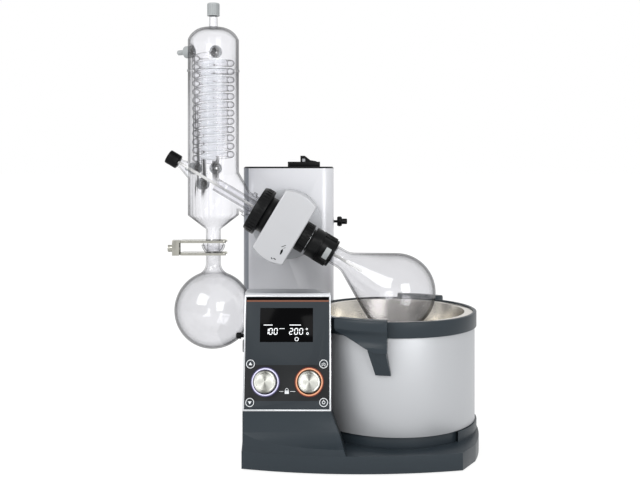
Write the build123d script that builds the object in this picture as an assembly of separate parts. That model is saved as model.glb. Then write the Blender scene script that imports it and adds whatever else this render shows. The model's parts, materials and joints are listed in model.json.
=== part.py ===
from build123d import *
import math
import os

# Rotary evaporator with a vertical condenser, a one-litre evaporating flask, a heating
# bath and a lifting tower. Millimetres, +Z up, +X to the right seen from the operator,
# +Y away from the operator, bench at Z = 0. The evaporating flask's axis, the bath's
# axis and the condenser's axis all lie in the plane Y = 0.

# Clearances
RUN = 0.05           # radial, a shaft in its bearing
FIT = 0.1            # between pieces fixed to each other
FREE = 0.4           # between pieces that move past each other

# Bench and base platform
FOOT_H = 2.5
FOOT_R = 11.0
PLINTH_TOP = 29.0
BASE_WALL = 4.0
BASE_LEFT_FRONT = -120.5
BASE_LEFT_REAR = -139.0
BASE_FRONT = -150.0
BASE_BOW = 25.0
BASE_REAR = 175.0
BASE_BOW_X = 60.0
BASE_NOSE_X = 218.0
BASE_NOSE_Y = -157.0
BASE_CHAMFER_X = 244.0
BASE_CHAMFER_Y = -115.0
CRADLE_H = 45.0
BATH_SEAT_Z = 20.0
PLATE_T = 1.6

# Heating bath
BATH_X = 124.0
BATH_COLLAR_R = 140.0
BATH_R = BATH_COLLAR_R - 3
BATH_RIM_R_IN = BATH_COLLAR_R - 20
BATH_RIM_Z = 223.0
BATH_COLLAR_Z = 200.0
BATH_SHELL_Z = 46.0
BATH_FOOT_R = BATH_R - 3.5
BATH_GAP = 2.5
CRADLE_LIP = 0.8
CRADLE_SIDE = 45.0
POT_FLOOR_Z = 62.0
POT_T = 1.5
SHELL_T = 1.5
HANDLE_R = BATH_COLLAR_R + 22
HANDLE_ANGLE = -113.5
HANDLE_SPAN = 31.0
HANDLE_TOP = 230.0
HANDLE_LOW = 180.0
HANDLE_LEG_Z = 143.0
HANDLE_LEG_W = 28.0

# Control console
CONSOLE_W = 136.0
CONSOLE_X = -51.0
PANEL_LOW_Y = -150.0
PANEL_LOW_Z = 91.0
PANEL_LEN = 177.0
PANEL_LEAN = 15.0
PANEL_T = 3.0
CONSOLE_REAR = -51.0
CONSOLE_WALL = 3.0
TRIM_W = 2.4
TRIM_T = 1.2
TOP_COVER_T = 3.0
DISPLAY_X = -52.6
DISPLAY_W = 83.0
DISPLAY_H = 52.8
DISPLAY_UP = PANEL_LEN - 46.3
KNOB_UP = 43.5
KNOB_PITCH = 68.0
KNOB_CENTRE_X = -50.7
KNOB_R = 17.0
KNOB_H = 15.0
KNOB_RING_R = 20.9
KNOB_SHAFT_R = 3.0
KEY_R = 6.9
KEY_T = 2.2
KEY_TRAVEL = 0.5
KEY_LEFT_X = -108.0
KEY_RIGHT_X = 5.6
KEY_HIGH = 70.7
KEY_LOW = 12.9
BOARD_T = 1.6
FLARE_OUT = 22.0
FLARE_DEPTH = 44.0
FLARE_MID_Z = (PANEL_LOW_Z + PLINTH_TOP) / 2 + 2
FOOT_EDGE_Z = 38.0

# Lifting tower
TOWER_W = 164.0
TOWER_X = -57.0
TOWER_FRONT = 90.0
TOWER_DEPTH = 82.0
TOWER_CORNER = 22.0
TOWER_WALL = 3.0
TOWER_BOTTOM = 130.0
TOWER_TOP = 463.0
CAP_T = 3.0
TOWER_FOOT_TOP = 75.0
COLUMN_W = 106.0
COLUMN_D = 46.0
COLUMN_TOP = 395.0
COLUMN_WALL = 4.0
COLUMN_Y = TOWER_FRONT + TOWER_DEPTH / 2
SCREW_R = 6.0
SCREW_LEAD = 10.0
SCREW_TOP = 388.0
NUT_R = 13.0
NUT_Z = 190.0
NUT_LEN = 24.0
LIFT_MOTOR_R = 20.0
LIFT_MOTOR_H = 58.0

# Drive head: distances along the drive axis are counted from the tilt pivot
PIVOT_X = -57.8
PIVOT_Z = 365.0
DRIVE_ANGLE = 30.7
DRUM_R = 61.0
DRUM_FRONT = 45.0
DRUM_BACK = 86.5
HEAD_LEFT = -30.6
HEAD_RIGHT = 28.0
HEAD_FRONT = -46.0
COVER_T = 7.0
COLLAR_R = 32.0
COLLAR_LEN = 11.5
SPIGOT_R = 29.0
SPIGOT_END = -52.0
UNION_R = 41.0
UNION_LEFT = -62.2
UNION_LEN = 19.7
UNION_RIBS = 36
SHAFT_R = 15.85
SHAFT_BORE = 11.6
BEARING_R = 22.0
BEARING_W = 8.0
BEARING_LEFT = -27.0
BEARING_RIGHT = -1.0
GEAR_MODULE = 1.5
GEAR_TEETH = 40
PINION_TEETH = 12
GEAR_W = 7.0
GEAR_LEFT = 13.0
MOTOR_R = 13.0
MOTOR_LEN = 32.0
TILT_SHAFT_R = 12.0
TILT_BEARING_R = 20.0

# Flask coupling on the drive axis
EJECTOR_LEFT = 28.6
EJECTOR_RIGHT = 45.0
EJECTOR_R = 26.7
EJECTOR_RIBS = 30
CLIP_LEFT = 49.2
CLIP_STEP = 66.6
CLIP_RIM = 88.4
CLIP_RIGHT = 92.7
CLIP_R = 26.0
CLIP_R_MID = 21.5
CLIP_R_RIM = 24.0

# Glassware
GLASS_T = 2.2
FLASK_R = 65.5
FLASK_T = 219.0
FLASK_CONE = 30.0
NECK_R = 16.4
NECK_START = 64.0
VAPOUR_R = 11.0
VAPOUR_BORE = 8.8
VAPOUR_LEFT = -138.5
CONE_START = 60.0
CONE_END = 95.0
CONDENSER_X = -181.2
CONDENSER_R = 43.0
SHOULDER_Z = 681.0
DOME_Z = 701.6
NOZZLE_TOP = 733.0
WELD_Z = 628.5
OUTLET_R = 12.5
JOINT_Z = 336.0
FUNNEL_LOW = JOINT_Z + 23.9
FUNNEL_TOP = FUNNEL_LOW + 23.8
BALL_R = 17.5
CUP_R = 20.3
RECEIVER_R = 65.5
RECEIVER_Z = JOINT_Z - 47.4 - RECEIVER_R
RECEIVER_BLEND = 20.0
ARM_R = 18.6
ARM_FLANGE_R = 27.0
ARM_CONE_T = -121.0
ARM_CONE_R = 40.5
ARM_NECK_T = -82.0
FLANGE_T = -52.6
FLANGE_W = 6.0
FEED_R = 8.8
FEED_CAP_R = 12.0
FEED_CAP_LEFT = -233.0
FEED_CAP_RIGHT = -211.7
FEED_TUBE_R = 2.5
FEED_TUBE_END = 150.0
COIL_R = 30.0
COIL_TUBE_R = 5.6
COIL_PITCH = 14.1
COIL_LOW = 476.0
COIL_TURNS = 12.5
INNER_COIL_R = 17.0
INNER_COIL_TUBE_R = 4.0
CAP14_R = 10.5
CAP14_LEN = 14.0
STUB_R = 6.0
STUB_END = 56.0
BARB_R = 4.4
BARB_LEN = 16.0

# Clamp on the ball joint
FORK_T = 4.0
FORK_HALF_W = 16.0
FORK_RIGHT = 23.0
FORK_LEFT = -55.0
FORK_SCREW_X = -62.0

# Places along and across the drive axis, and on the leaning panel
ALONG = math.radians(DRIVE_ANGLE)
PIVOT = Vector(PIVOT_X, 0, PIVOT_Z)
DRIVE_DIR = Vector(math.cos(ALONG), 0, -math.sin(ALONG))
DRIVE = Plane(origin=PIVOT, x_dir=(0, 1, 0), z_dir=DRIVE_DIR)
LEAN = math.radians(PANEL_LEAN)
PANEL_OUT = Vector(0, -math.cos(LEAN), math.sin(LEAN))
PANEL_TOP_Y = PANEL_LOW_Y + PANEL_LEN * math.sin(LEAN)
PANEL_TOP_Z = PANEL_LOW_Z + PANEL_LEN * math.cos(LEAN)
PANEL = Plane(origin=(0, PANEL_LOW_Y, PANEL_LOW_Z), x_dir=(1, 0, 0), z_dir=PANEL_OUT)
CONDENSER = Pos(CONDENSER_X, 0, 0)
BATH = Pos(BATH_X, 0, 0)
GEAR_R = GEAR_MODULE * GEAR_TEETH / 2
PINION_R = GEAR_MODULE * PINION_TEETH / 2
MOTOR_UP = GEAR_R + PINION_R
TOWER_REAR = TOWER_FRONT + TOWER_DEPTH
CONSOLE_LEFT = CONSOLE_X - CONSOLE_W / 2
CONSOLE_RIGHT = CONSOLE_X + CONSOLE_W / 2
KNOB_XS = (KNOB_CENTRE_X - KNOB_PITCH / 2, KNOB_CENTRE_X + KNOB_PITCH / 2)
KEYS = {
    "key_lift_up": (KEY_LEFT_X, KEY_HIGH),
    "key_lift_down": (KEY_LEFT_X, KEY_LOW),
    "key_heat": (KEY_RIGHT_X, KEY_HIGH),
    "key_power": (KEY_RIGHT_X, KEY_LOW),
}
# Rear connections of the condenser: turn about its axis from +X, and height
WATER_IN = (92.0, 463.0)
WATER_OUT = (92.0, 668.0)
CONNECTIONS = {
    "water in": WATER_IN,
    "second coil": (135.0, 463.0),
    "vacuum": (118.0, 436.0),
    "water out": WATER_OUT,
    "vent": (150.0, 664.0),
}


def turned(points):
    """A solid turned about Z from (radius, height) points."""
    return revolve(Plane.XZ * make_face(Polyline(*points, close=True)), Axis.Z)


def turned_curve(curve):
    """A solid turned about Z from a closed curve of (radius, height)."""
    return revolve(Plane.XZ * make_face(curve), Axis.Z)


def ring(r_out, r_in, low, high):
    """A plain ring or tube about Z."""
    return turned([(r_in, low), (r_out, low), (r_out, high), (r_in, high)])


def rod(radius, low, high):
    """A plain rod about Z."""
    return Pos(0, 0, (low + high) / 2) * Cylinder(radius, high - low)


def block(x0, x1, y0, y1, z0, z1):
    """A box from its low and high corners."""
    centre = Pos((x0 + x1) / 2, (y0 + y1) / 2, (z0 + z1) / 2)
    return centre * Box(x1 - x0, y1 - y0, z1 - z0)


def ribbed(body, r_out, count, low, high, depth=0.9):
    """Grip grooves cut round the outside of a turned body."""
    width = math.pi * r_out / count
    groove = Pos(r_out, 0, (low + high) / 2) * Box(2 * depth, width, high - low)
    cuts = [Rot(0, 0, 360 * i / count) * groove for i in range(count)]
    return body - cuts


# Base platform

def base_outline(inset=0.0):
    """The plinth's footprint: bowed front, cut corner at the right, round right side."""
    left_front = (BASE_LEFT_FRONT + inset, BASE_FRONT + inset)
    bow = (BASE_BOW_X, BASE_FRONT - BASE_BOW + inset)
    nose = (BASE_NOSE_X - inset, BASE_NOSE_Y + inset)
    corner = (BASE_CHAMFER_X - inset, BASE_CHAMFER_Y)
    right = (BATH_X + BATH_COLLAR_R + CRADLE_LIP - inset, 0)
    rear_corner = (BASE_CHAMFER_X - inset, -BASE_CHAMFER_Y)
    rear_right = (TOWER_X + TOWER_W / 2 + TOWER_CORNER, BASE_REAR - inset)
    rear_left = (BASE_LEFT_REAR + inset, BASE_REAR - inset)
    edges = [
        ThreePointArc(left_front, bow, nose),
        Line(nose, corner),
        ThreePointArc(corner, right, rear_corner),
        Line(rear_corner, rear_right),
        Line(rear_right, rear_left),
        Line(rear_left, left_front),
    ]
    return make_face(edges)


def tower_section(outset=0.0):
    """The tower's rounded cross-section about its own middle."""
    size = (TOWER_W + 2 * outset, TOWER_DEPTH + 2 * outset)
    return RectangleRounded(*size, TOWER_CORNER + outset)


def tower_tube(outset, low, high):
    """The tower's section stood up between two heights."""
    return Pos(TOWER_X, COLUMN_Y, low) * extrude(tower_section(outset), high - low)


def base_platform():
    """Cast plinth with the bath's seat and cradle and the tower's foot."""
    body = Pos(0, 0, FOOT_H) * extrude(base_outline(), PLINTH_TOP - FOOT_H)
    cradle = BATH * ring(BATH_COLLAR_R, BATH_FOOT_R + 1, FOOT_H + 1, CRADLE_H)
    outside = BATH_COLLAR_R + 60
    right = BATH_COLLAR_R - CRADLE_SIDE
    front_gap = block(-outside, right, -outside, 80 - BATH_COLLAR_R, PLINTH_TOP, CRADLE_H + 1)
    left_gap = block(-outside, -right, -outside, outside, PLINTH_TOP, CRADLE_H + 1)
    body += cradle - BATH * (front_gap + left_gap)
    body += tower_tube(0, PLINTH_TOP - 1, TOWER_FOOT_TOP)
    bridge_right = BATH_X - BATH_COLLAR_R - 6
    bridge = block(-100, bridge_right, CONSOLE_REAR, TOWER_FRONT + 4, PLINTH_TOP - 1, 92)
    body += bridge - tower_tube(FREE, TOWER_FOOT_TOP, TOWER_BOTTOM)
    body -= BATH * rod(BATH_FOOT_R + 1, BATH_SEAT_Z, CRADLE_H + 5)
    body -= BATH * rod(BATH_COLLAR_R + 0.5, CRADLE_H, TOWER_FOOT_TOP + 5)
    hollow = extrude(base_outline(BASE_WALL), BATH_SEAT_Z - BASE_WALL - FOOT_H)
    body -= Pos(0, 0, FOOT_H) * hollow
    top = TOWER_FOOT_TOP - BASE_WALL
    body -= tower_tube(-BASE_WALL, BATH_SEAT_Z - BASE_WALL - 1, top)
    half_w = COLUMN_W / 2 + FIT
    half_d = COLUMN_D / 2 + FIT
    column = block(-half_w, half_w, -half_d, half_d, top - 1, TOWER_FOOT_TOP + 1)
    body -= Pos(TOWER_X, COLUMN_Y, 0) * column
    body -= block(-46, -2, BASE_REAR - 8, BASE_REAR + 5, 34, 62)
    return body


def base_plate():
    """Steel sheet that closes the plinth from below."""
    sheet = extrude(base_outline(BASE_WALL + FIT), PLATE_T)
    return Pos(0, 0, FOOT_H) * sheet


def rubber_feet():
    """Four rubber feet under the plate."""
    places = [(-95, -125), (195, -125), (195, 110), (-112, 150)]
    foot = turned([(0, 0), (FOOT_R - 1, 0), (FOOT_R, 1), (FOOT_R, FOOT_H), (0, FOOT_H)])
    return [Pos(x, y, 0) * foot for x, y in places]


def mains_inlet():
    """Appliance inlet in the back of the tower's foot."""
    face = BASE_REAR - 1.5
    body = block(-45.5, -2.5, face - 16, face, 34.5, 61.5)
    body -= block(-38, -10, face - 13, face + 1, 40, 56)
    pins = [block(x - 1, x + 1, face - 14, face - 6, 45, 50) for x in (-31, -24, -17)]
    return body + pins


def power_board():
    """Supply board on the base plate."""
    low = FOOT_H + PLATE_T
    board = block(-100, -20, -120, 20, low + 3, low + 3 + BOARD_T)
    posts = [Pos(x, y, 0) * rod(2.5, low, low + 4) for x in (-95, -25) for y in (-115, 15)]
    parts = block(-90, -60, -100, -70, low + 4, low + 11)
    parts += block(-50, -30, -90, -40, low + 4, low + 10)
    return board + posts + parts


# Lift

def lift_column():
    """Fixed square column that carries and guides the tower."""
    low = FOOT_H + PLATE_T + FIT
    outer = block(-COLUMN_W / 2, COLUMN_W / 2, -COLUMN_D / 2, COLUMN_D / 2, low, COLUMN_TOP)
    wall = COLUMN_WALL
    hollow = block(
        wall - COLUMN_W / 2, COLUMN_W / 2 - wall, wall - COLUMN_D / 2, COLUMN_D / 2 - wall,
        low + 8, COLUMN_TOP + 1)
    return Pos(TOWER_X, COLUMN_Y, 0) * (outer - hollow)


def lift_motor():
    """Gear motor that stands in the foot of the column."""
    low = FOOT_H + PLATE_T + FIT + 8
    motor = rod(LIFT_MOTOR_R - 2, low, low + LIFT_MOTOR_H)
    motor += Pos(0, 0, low + LIFT_MOTOR_H + 4) * Box(38, 37, 8)
    motor -= rod(SCREW_R + RUN, low + LIFT_MOTOR_H - 8, low + LIFT_MOTOR_H + 9)
    return Pos(TOWER_X, COLUMN_Y, 0) * motor


def lift_screw():
    """Lead screw, turned by the motor; it draws the tower up and down."""
    low = FOOT_H + PLATE_T + FIT + LIFT_MOTOR_H
    body = rod(SCREW_R, low + 1, SCREW_TOP)
    return Pos(TOWER_X, COLUMN_Y, 0) * body


def lift_nut():
    """Nut on the screw, hung from the top of the tower by a tube."""
    tube = ring(NUT_R, SCREW_R + 2, NUT_Z + NUT_LEN, TOWER_TOP)
    nut = ring(NUT_R + 3, SCREW_R + RUN, NUT_Z, NUT_Z + NUT_LEN)
    return Pos(TOWER_X, COLUMN_Y, 0) * (tube + nut)


def tower_sleeve():
    """Extruded aluminium tower that rides up and down on the column."""
    body = tower_tube(0, TOWER_BOTTOM, TOWER_TOP)
    body -= tower_tube(-TOWER_WALL, TOWER_BOTTOM - 1, TOWER_TOP + 1)
    across = Pos(PIVOT_X, TOWER_FRONT, PIVOT_Z) * Rot(90, 0, 0)
    body -= across * rod(TILT_BEARING_R + FIT, -12, 12)
    side = Pos(TOWER_X + TOWER_W / 2, LOCK_Y, PIVOT_Z) * Rot(0, 90, 0)
    body -= side * rod(LOCK_STEM_R + RUN, -12, 12)
    return body


def tower_cap():
    """Dark lid on the tower."""
    lid = tower_tube(0, TOWER_TOP, TOWER_TOP + CAP_T)
    rim = lid.faces().sort_by(Axis.Z)[-1].edges()
    return chamfer(rim, CAP_T * 0.8)


def glide_pads():
    """Low-friction pads on the inside of the tower that run on the column."""
    pads = []
    thick = (TOWER_W - COLUMN_W) / 2 - TOWER_WALL - FREE - FIT
    inner = COLUMN_W / 2 + FREE
    for low in (TOWER_BOTTOM + 4, TOWER_BOTTOM + 94):
        for side in (-1, 1):
            x0, x1 = sorted((side * inner, side * (inner + thick)))
            pads.append(Pos(TOWER_X, COLUMN_Y, 0) * block(x0, x1, -14, 14, low, low + 24))
        front = TOWER_FRONT + TOWER_WALL + FIT - COLUMN_Y
        y1 = -COLUMN_D / 2 - FREE
        pads.append(Pos(TOWER_X, COLUMN_Y, 0) * block(-24, 24, front, y1, low, low + 24))
        back = TOWER_REAR - TOWER_WALL - FIT - COLUMN_Y
        y0 = COLUMN_D / 2 + FREE
        pads.append(Pos(TOWER_X, COLUMN_Y, 0) * block(-24, 24, y0, back, low, low + 24))
    return pads


# Hose clip on the tower's lid, and the knob that locks the tilt

CLIP_X0 = -59.0
CLIP_X1 = 0.0
CLIP_PLATE_H = 9.0
CLIP_Y0 = 118.0
CLIP_Y1 = 146.0
LATCH_LEFT = -36.0
LATCH_PEAK = 20.0
LATCH_PIN_R = 1.6
LOCK_Y = 131.0
LOCK_STEM_R = 2.4
LOCK_DISC_R = 9.2
LOCK_GRIP_R = 5.2


def hose_clip_base():
    """Block on the lid with a channel for the hoses."""
    low = TOWER_TOP + CAP_T
    body = block(CLIP_X0, CLIP_X1, CLIP_Y0, CLIP_Y1, low, low + CLIP_PLATE_H)
    body = chamfer(body.edges().filter_by(Axis.Z), 2)
    pocket_low = low + 3
    body -= block(LATCH_LEFT - 1, CLIP_X1 - 3, CLIP_Y0 + 4, CLIP_Y1 - 4, pocket_low, low + 20)
    pin = Pos(CLIP_X1 - 9, CLIP_Y0, low + 6) * Rot(-90, 0, 0) * rod(LATCH_PIN_R, 1, 27)
    return body + pin


def hose_clip_latch():
    """Sprung wedge that closes over the hoses."""
    low = TOWER_TOP + CAP_T + 3 + FREE
    top = TOWER_TOP + CAP_T
    pin_x = CLIP_X1 - 9
    outline = Polyline(
        (LATCH_LEFT, low), (LATCH_LEFT, top + LATCH_PEAK), (LATCH_LEFT + 8, top + LATCH_PEAK),
        (LATCH_LEFT + 18, top + 12), (pin_x + 2.6, top + 10), (pin_x + 2.6, top + 6),
        (pin_x + 1.8, top + 4.2), (pin_x, low), close=True)
    width = CLIP_Y1 - CLIP_Y0 - 8 - 2 * FREE
    body = extrude(Plane.XZ * make_face(outline), width)
    body = Pos(0, CLIP_Y1 - 4 - FREE, 0) * body
    hole = Pos(pin_x, CLIP_Y0, top + 6) * Rot(-90, 0, 0) * rod(LATCH_PIN_R + RUN, 0, 30)
    front = CLIP_Y0 + 4 + FREE
    dimple = block(LATCH_LEFT + 3, LATCH_LEFT + 9, front - 1, front + 2.5, top + 8, top + 15)
    return body - hole - dimple


def tilt_lock_knob():
    """Clamping screw at the right of the tower, level with the tilt pivot."""
    start = TOWER_W / 2
    knob = turned([
        (0, -16), (LOCK_STEM_R, -16), (LOCK_STEM_R, 6.5), (LOCK_DISC_R - 1.5, 6.5),
        (LOCK_DISC_R, 9), (LOCK_DISC_R, 13), (LOCK_DISC_R - 1.5, 15.5), (LOCK_GRIP_R, 15.5),
        (LOCK_GRIP_R, 24), (LOCK_GRIP_R - 1, 25), (0, 25)])
    return Pos(TOWER_X + start, LOCK_Y, PIVOT_Z) * Rot(0, 90, 0) * knob


def tilt_bearing():
    """Flanged bush in the front of the tower."""
    bore = TILT_SHAFT_R + RUN
    bush = turned([
        (bore, 0), (TILT_BEARING_R + 6, 0), (TILT_BEARING_R + 6, 2.6), (TILT_BEARING_R, 2.6),
        (TILT_BEARING_R, 11), (bore, 11)])
    start = TOWER_FRONT - 2.7
    return Pos(PIVOT_X, start, PIVOT_Z) * Rot(-90, 0, 0) * bush


# Drive head

def head_slab(front, back, grow=0.0):
    """The head's body: a round drum cut off square on both sides of the drive axis."""
    drum = Pos(PIVOT_X, 0, PIVOT_Z) * Rot(-90, 0, 0) * rod(DRUM_R + 1 + grow, front, back)
    reach = 2 * DRUM_R + 20
    cut = block(front, back, -reach / 2, reach / 2, HEAD_LEFT - grow, HEAD_RIGHT + grow)
    return drum & (DRIVE * cut)


def head_housing():
    """Cast head with its bearing bore, gear chamber and motor bore."""
    front = HEAD_FRONT + COVER_T
    body = head_slab(front, DRUM_FRONT)
    body -= DRIVE * rod(BEARING_R + FIT, HEAD_LEFT - 1, GEAR_LEFT)
    gear_end = GEAR_LEFT + GEAR_W + 3
    body -= DRIVE * rod(GEAR_R + GEAR_MODULE + 1, GEAR_LEFT - 2, gear_end)
    body -= DRIVE * rod(SHAFT_R + FREE, 0, HEAD_RIGHT + 1)
    body -= DRIVE * Pos(0, MOTOR_UP, 0) * rod(MOTOR_R + FIT, HEAD_LEFT + 6, gear_end)
    return body


def head_front_cover():
    """Pale cover on the front of the head."""
    front = HEAD_FRONT
    body = head_slab(front, front + COVER_T - FIT)
    edges = body.faces().sort_by(Axis.Y)[0].edges()
    return fillet(edges, 3)


def pivot_drum():
    """Round back of the head that turns against the tower."""
    body = Pos(PIVOT_X, 0, PIVOT_Z) * Rot(-90, 0, 0) * rod(DRUM_R, DRUM_FRONT + FIT, DRUM_BACK)
    body -= Pos(PIVOT_X, 0, PIVOT_Z) * Rot(-90, 0, 0) * rod(TILT_SHAFT_R + FIT, 50, 100)
    return body


def tilt_shaft():
    """Shaft of the tilt pivot with its retaining washer."""
    shaft = rod(TILT_SHAFT_R, 50.5, TOWER_FRONT + 17)
    shaft += rod(TILT_SHAFT_R + 5, TOWER_FRONT + 9, TOWER_FRONT + 13)
    return Pos(PIVOT_X, 0, PIVOT_Z) * Rot(-90, 0, 0) * shaft


def head_flange():
    """Dark collar and threaded spigot that take the condenser."""
    start = HEAD_LEFT - FIT
    collar = turned([
        (SHAFT_R + FREE, start), (COLLAR_R, start), (COLLAR_R, start - COLLAR_LEN),
        (SPIGOT_R, start - COLLAR_LEN), (SPIGOT_R, SPIGOT_END), (SHAFT_R + FREE, SPIGOT_END)])
    return DRIVE * collar


def vapour_seal():
    """Ring that seals the turning vapour tube against the condenser flange."""
    seal = turned([
        (VAPOUR_R + RUN, SPIGOT_END + 8), (SHAFT_R + FREE - FIT, SPIGOT_END + 8),
        (SHAFT_R + FREE - FIT, SPIGOT_END - 0.3), (VAPOUR_R + 2, SPIGOT_END - 0.3),
        (VAPOUR_R + RUN, SPIGOT_END + 3)])
    return DRIVE * seal


def drive_bearings():
    """Two ball bearings, each shown as one ring."""
    lows = (BEARING_LEFT, BEARING_RIGHT)
    return [DRIVE * ring(BEARING_R, SHAFT_R + RUN, low, low + BEARING_W) for low in lows]


def hollow_shaft():
    """Hollow drive shaft that turns the flask."""
    return DRIVE * ring(SHAFT_R, SHAFT_BORE, HEAD_LEFT + 1, EJECTOR_RIGHT + 3.5)


def gear_outline(teeth, module, turn):
    """A spur gear's outline: straight-sided teeth with running backlash."""
    pitch_r = module * teeth / 2
    tip = pitch_r + module * 0.9
    root = pitch_r - module * 1.2
    step = 360 / teeth
    shares = ((root, -0.34), (tip, -0.14), (tip, 0.14), (root, 0.34))
    points = []
    for i in range(teeth):
        for radius, share in shares:
            a = math.radians((i + share) * step + turn)
            points.append((radius * math.cos(a), radius * math.sin(a)))
    return make_face(Polyline(*points, close=True))


def drive_gear():
    """Gear wheel on the hollow shaft; one tooth points at the pinion."""
    wheel = extrude(gear_outline(GEAR_TEETH, GEAR_MODULE, 90), GEAR_W)
    wheel = Pos(0, 0, GEAR_LEFT) * wheel - rod(SHAFT_R + FIT, GEAR_LEFT - 1, 40)
    return DRIVE * wheel


def motor_pinion():
    """Motor shaft with its pinion."""
    half_step = 180 / PINION_TEETH
    pinion = extrude(gear_outline(PINION_TEETH, GEAR_MODULE, -90 + half_step), GEAR_W)
    shaft = rod(2.5, HEAD_LEFT + 14, GEAR_LEFT + GEAR_W)
    return DRIVE * Pos(0, MOTOR_UP, 0) * (Pos(0, 0, GEAR_LEFT) * pinion + shaft)


def drive_motor():
    """Body of the drive motor."""
    low = HEAD_LEFT + 8
    body = rod(MOTOR_R, low, low + MOTOR_LEN) - rod(2.5 + RUN, low + 4, low + MOTOR_LEN + 1)
    return DRIVE * Pos(0, MOTOR_UP, 0) * body


def union_nut():
    """Ribbed union nut that holds the condenser's flange to the head."""
    left = UNION_LEFT
    right = UNION_LEFT + UNION_LEN
    inner = SPIGOT_R + 0.3
    body = turned([
        (ARM_R + 1.4, left), (UNION_R - 2.5, left), (UNION_R, left + 7), (UNION_R, right - 1),
        (UNION_R - 1, right), (inner, right), (inner, left + 3), (ARM_R + 1.4, left + 3)])
    return DRIVE * ribbed(body, UNION_R, UNION_RIBS, left + 4, right - 4)


def ejector_nut():
    """Knurled ring on the shaft that pushes the flask off its cone."""
    body = turned([
        (SHAFT_R + RUN, EJECTOR_LEFT), (EJECTOR_R - 1, EJECTOR_LEFT),
        (EJECTOR_R, EJECTOR_LEFT + 1), (EJECTOR_R, EJECTOR_RIGHT - 1),
        (EJECTOR_R - 1, EJECTOR_RIGHT), (SHAFT_R + RUN, EJECTOR_RIGHT)])
    low, high = EJECTOR_LEFT + 2.5, EJECTOR_RIGHT - 2.5
    return DRIVE * ribbed(body, EJECTOR_R, EJECTOR_RIBS, low, high)


def flask_clip():
    """Clip that holds the flask's neck on the shaft, with a window at its front."""
    bore = NECK_R + FIT
    hub = SHAFT_R + FIT
    body = turned([
        (hub, CLIP_LEFT - 3), (CLIP_R_MID - 1, CLIP_LEFT - 3), (CLIP_R_MID - 1, CLIP_LEFT),
        (CLIP_R, CLIP_LEFT), (CLIP_R, CLIP_STEP), (CLIP_R_MID, CLIP_STEP + 0.8),
        (CLIP_R_MID, CLIP_RIM), (CLIP_R_RIM, CLIP_RIM), (CLIP_R_RIM, CLIP_RIGHT),
        (bore, CLIP_RIGHT), (bore, NECK_START - 1), (hub, NECK_START - 1)])
    body -= block(-CLIP_R - 2, -CLIP_R_MID + 2.2, -17, -1, CLIP_STEP + 8, CLIP_RIM - 4)
    body -= block(-CLIP_R - 2, -CLIP_R + 1.5, -9, 9, CLIP_LEFT + 3, CLIP_STEP - 3)
    lugs = [block(-5, 5, s * (CLIP_R - 3) - 3, s * (CLIP_R - 3) + 3, CLIP_STEP - 2, CLIP_RIM)
            for s in (-1, 1)]
    cut = rod(bore, NECK_START - 1, CLIP_RIGHT + 1)
    return DRIVE * (body + lugs - cut)


# Glassware on the drive axis

def pear(shrink, start):
    """Evaporating flask turned about the drive axis; shrink makes its inner surface."""
    slope = math.radians(FLASK_CONE)
    r = FLASK_R - shrink
    neck = NECK_R - shrink
    apex = FLASK_T - r / math.sin(slope)
    join = apex + neck / math.tan(slope)
    touch = (r * math.cos(slope), FLASK_T - r * math.sin(slope))
    side = math.radians(45)
    mid = (r * math.cos(side), FLASK_T + r * math.sin(side))
    end = (0, FLASK_T + r)
    radius = 30 - shrink if shrink == 0 else 30 + shrink
    neck_line = FilletPolyline((neck, start), (neck, join), touch, radius=radius)
    edges = [Line((0, start), (neck, start)), neck_line, ThreePointArc(touch, mid, end),
             Line(end, (0, start))]
    return turned_curve(edges)


def evaporating_flask():
    """One-litre pear-shaped evaporating flask."""
    socket = turned([
        (0, NECK_START - 1), (cone_radius(NECK_START) + FIT, NECK_START - 1),
        (cone_radius(CONE_END) + FIT, CONE_END), (0, CONE_END)])
    hollow = pear(GLASS_T, CONE_END - 1)
    return DRIVE * (pear(0, NECK_START) - hollow - socket)


def cone_radius(t):
    """Radius of the ground cone at a place along the drive axis."""
    return 14.3 - (t - CONE_START) / 20


def vapour_tube():
    """Glass tube through the hollow shaft, with the ground cone for the flask."""
    tube = rod(VAPOUR_R, VAPOUR_LEFT, CONE_END)
    cone = turned([
        (0, CONE_START), (cone_radius(CONE_START), CONE_START),
        (cone_radius(CONE_END), CONE_END), (0, CONE_END)])
    bore = rod(VAPOUR_BORE, VAPOUR_LEFT - 1, CONE_END + 1)
    collar = ring(SHAFT_BORE + 2, VAPOUR_R - 1, EJECTOR_RIGHT + 4, EJECTOR_RIGHT + 8)
    return DRIVE * (tube + cone + collar - bore)


def feed_tube():
    """Thin tube that leads from the feed cap into the flask."""
    return DRIVE * ring(FEED_TUBE_R, FEED_TUBE_R - 1, FEED_CAP_LEFT + 1, FEED_TUBE_END)


def feed_cap():
    """Screw cap on the condenser's feed port."""
    left, right = FEED_CAP_LEFT, FEED_CAP_RIGHT
    body = turned([
        (FEED_TUBE_R + FIT, left), (FEED_CAP_R - 1, left), (FEED_CAP_R, left + 1),
        (FEED_CAP_R, right - 1), (FEED_CAP_R - 1, right), (FEED_R + FIT, right),
        (FEED_R + FIT, left + 5), (FEED_TUBE_R + FIT, left + 5)])
    return DRIVE * ribbed(body, FEED_CAP_R, 18, left + 2, right - 3, 0.6)


# Condenser

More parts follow.
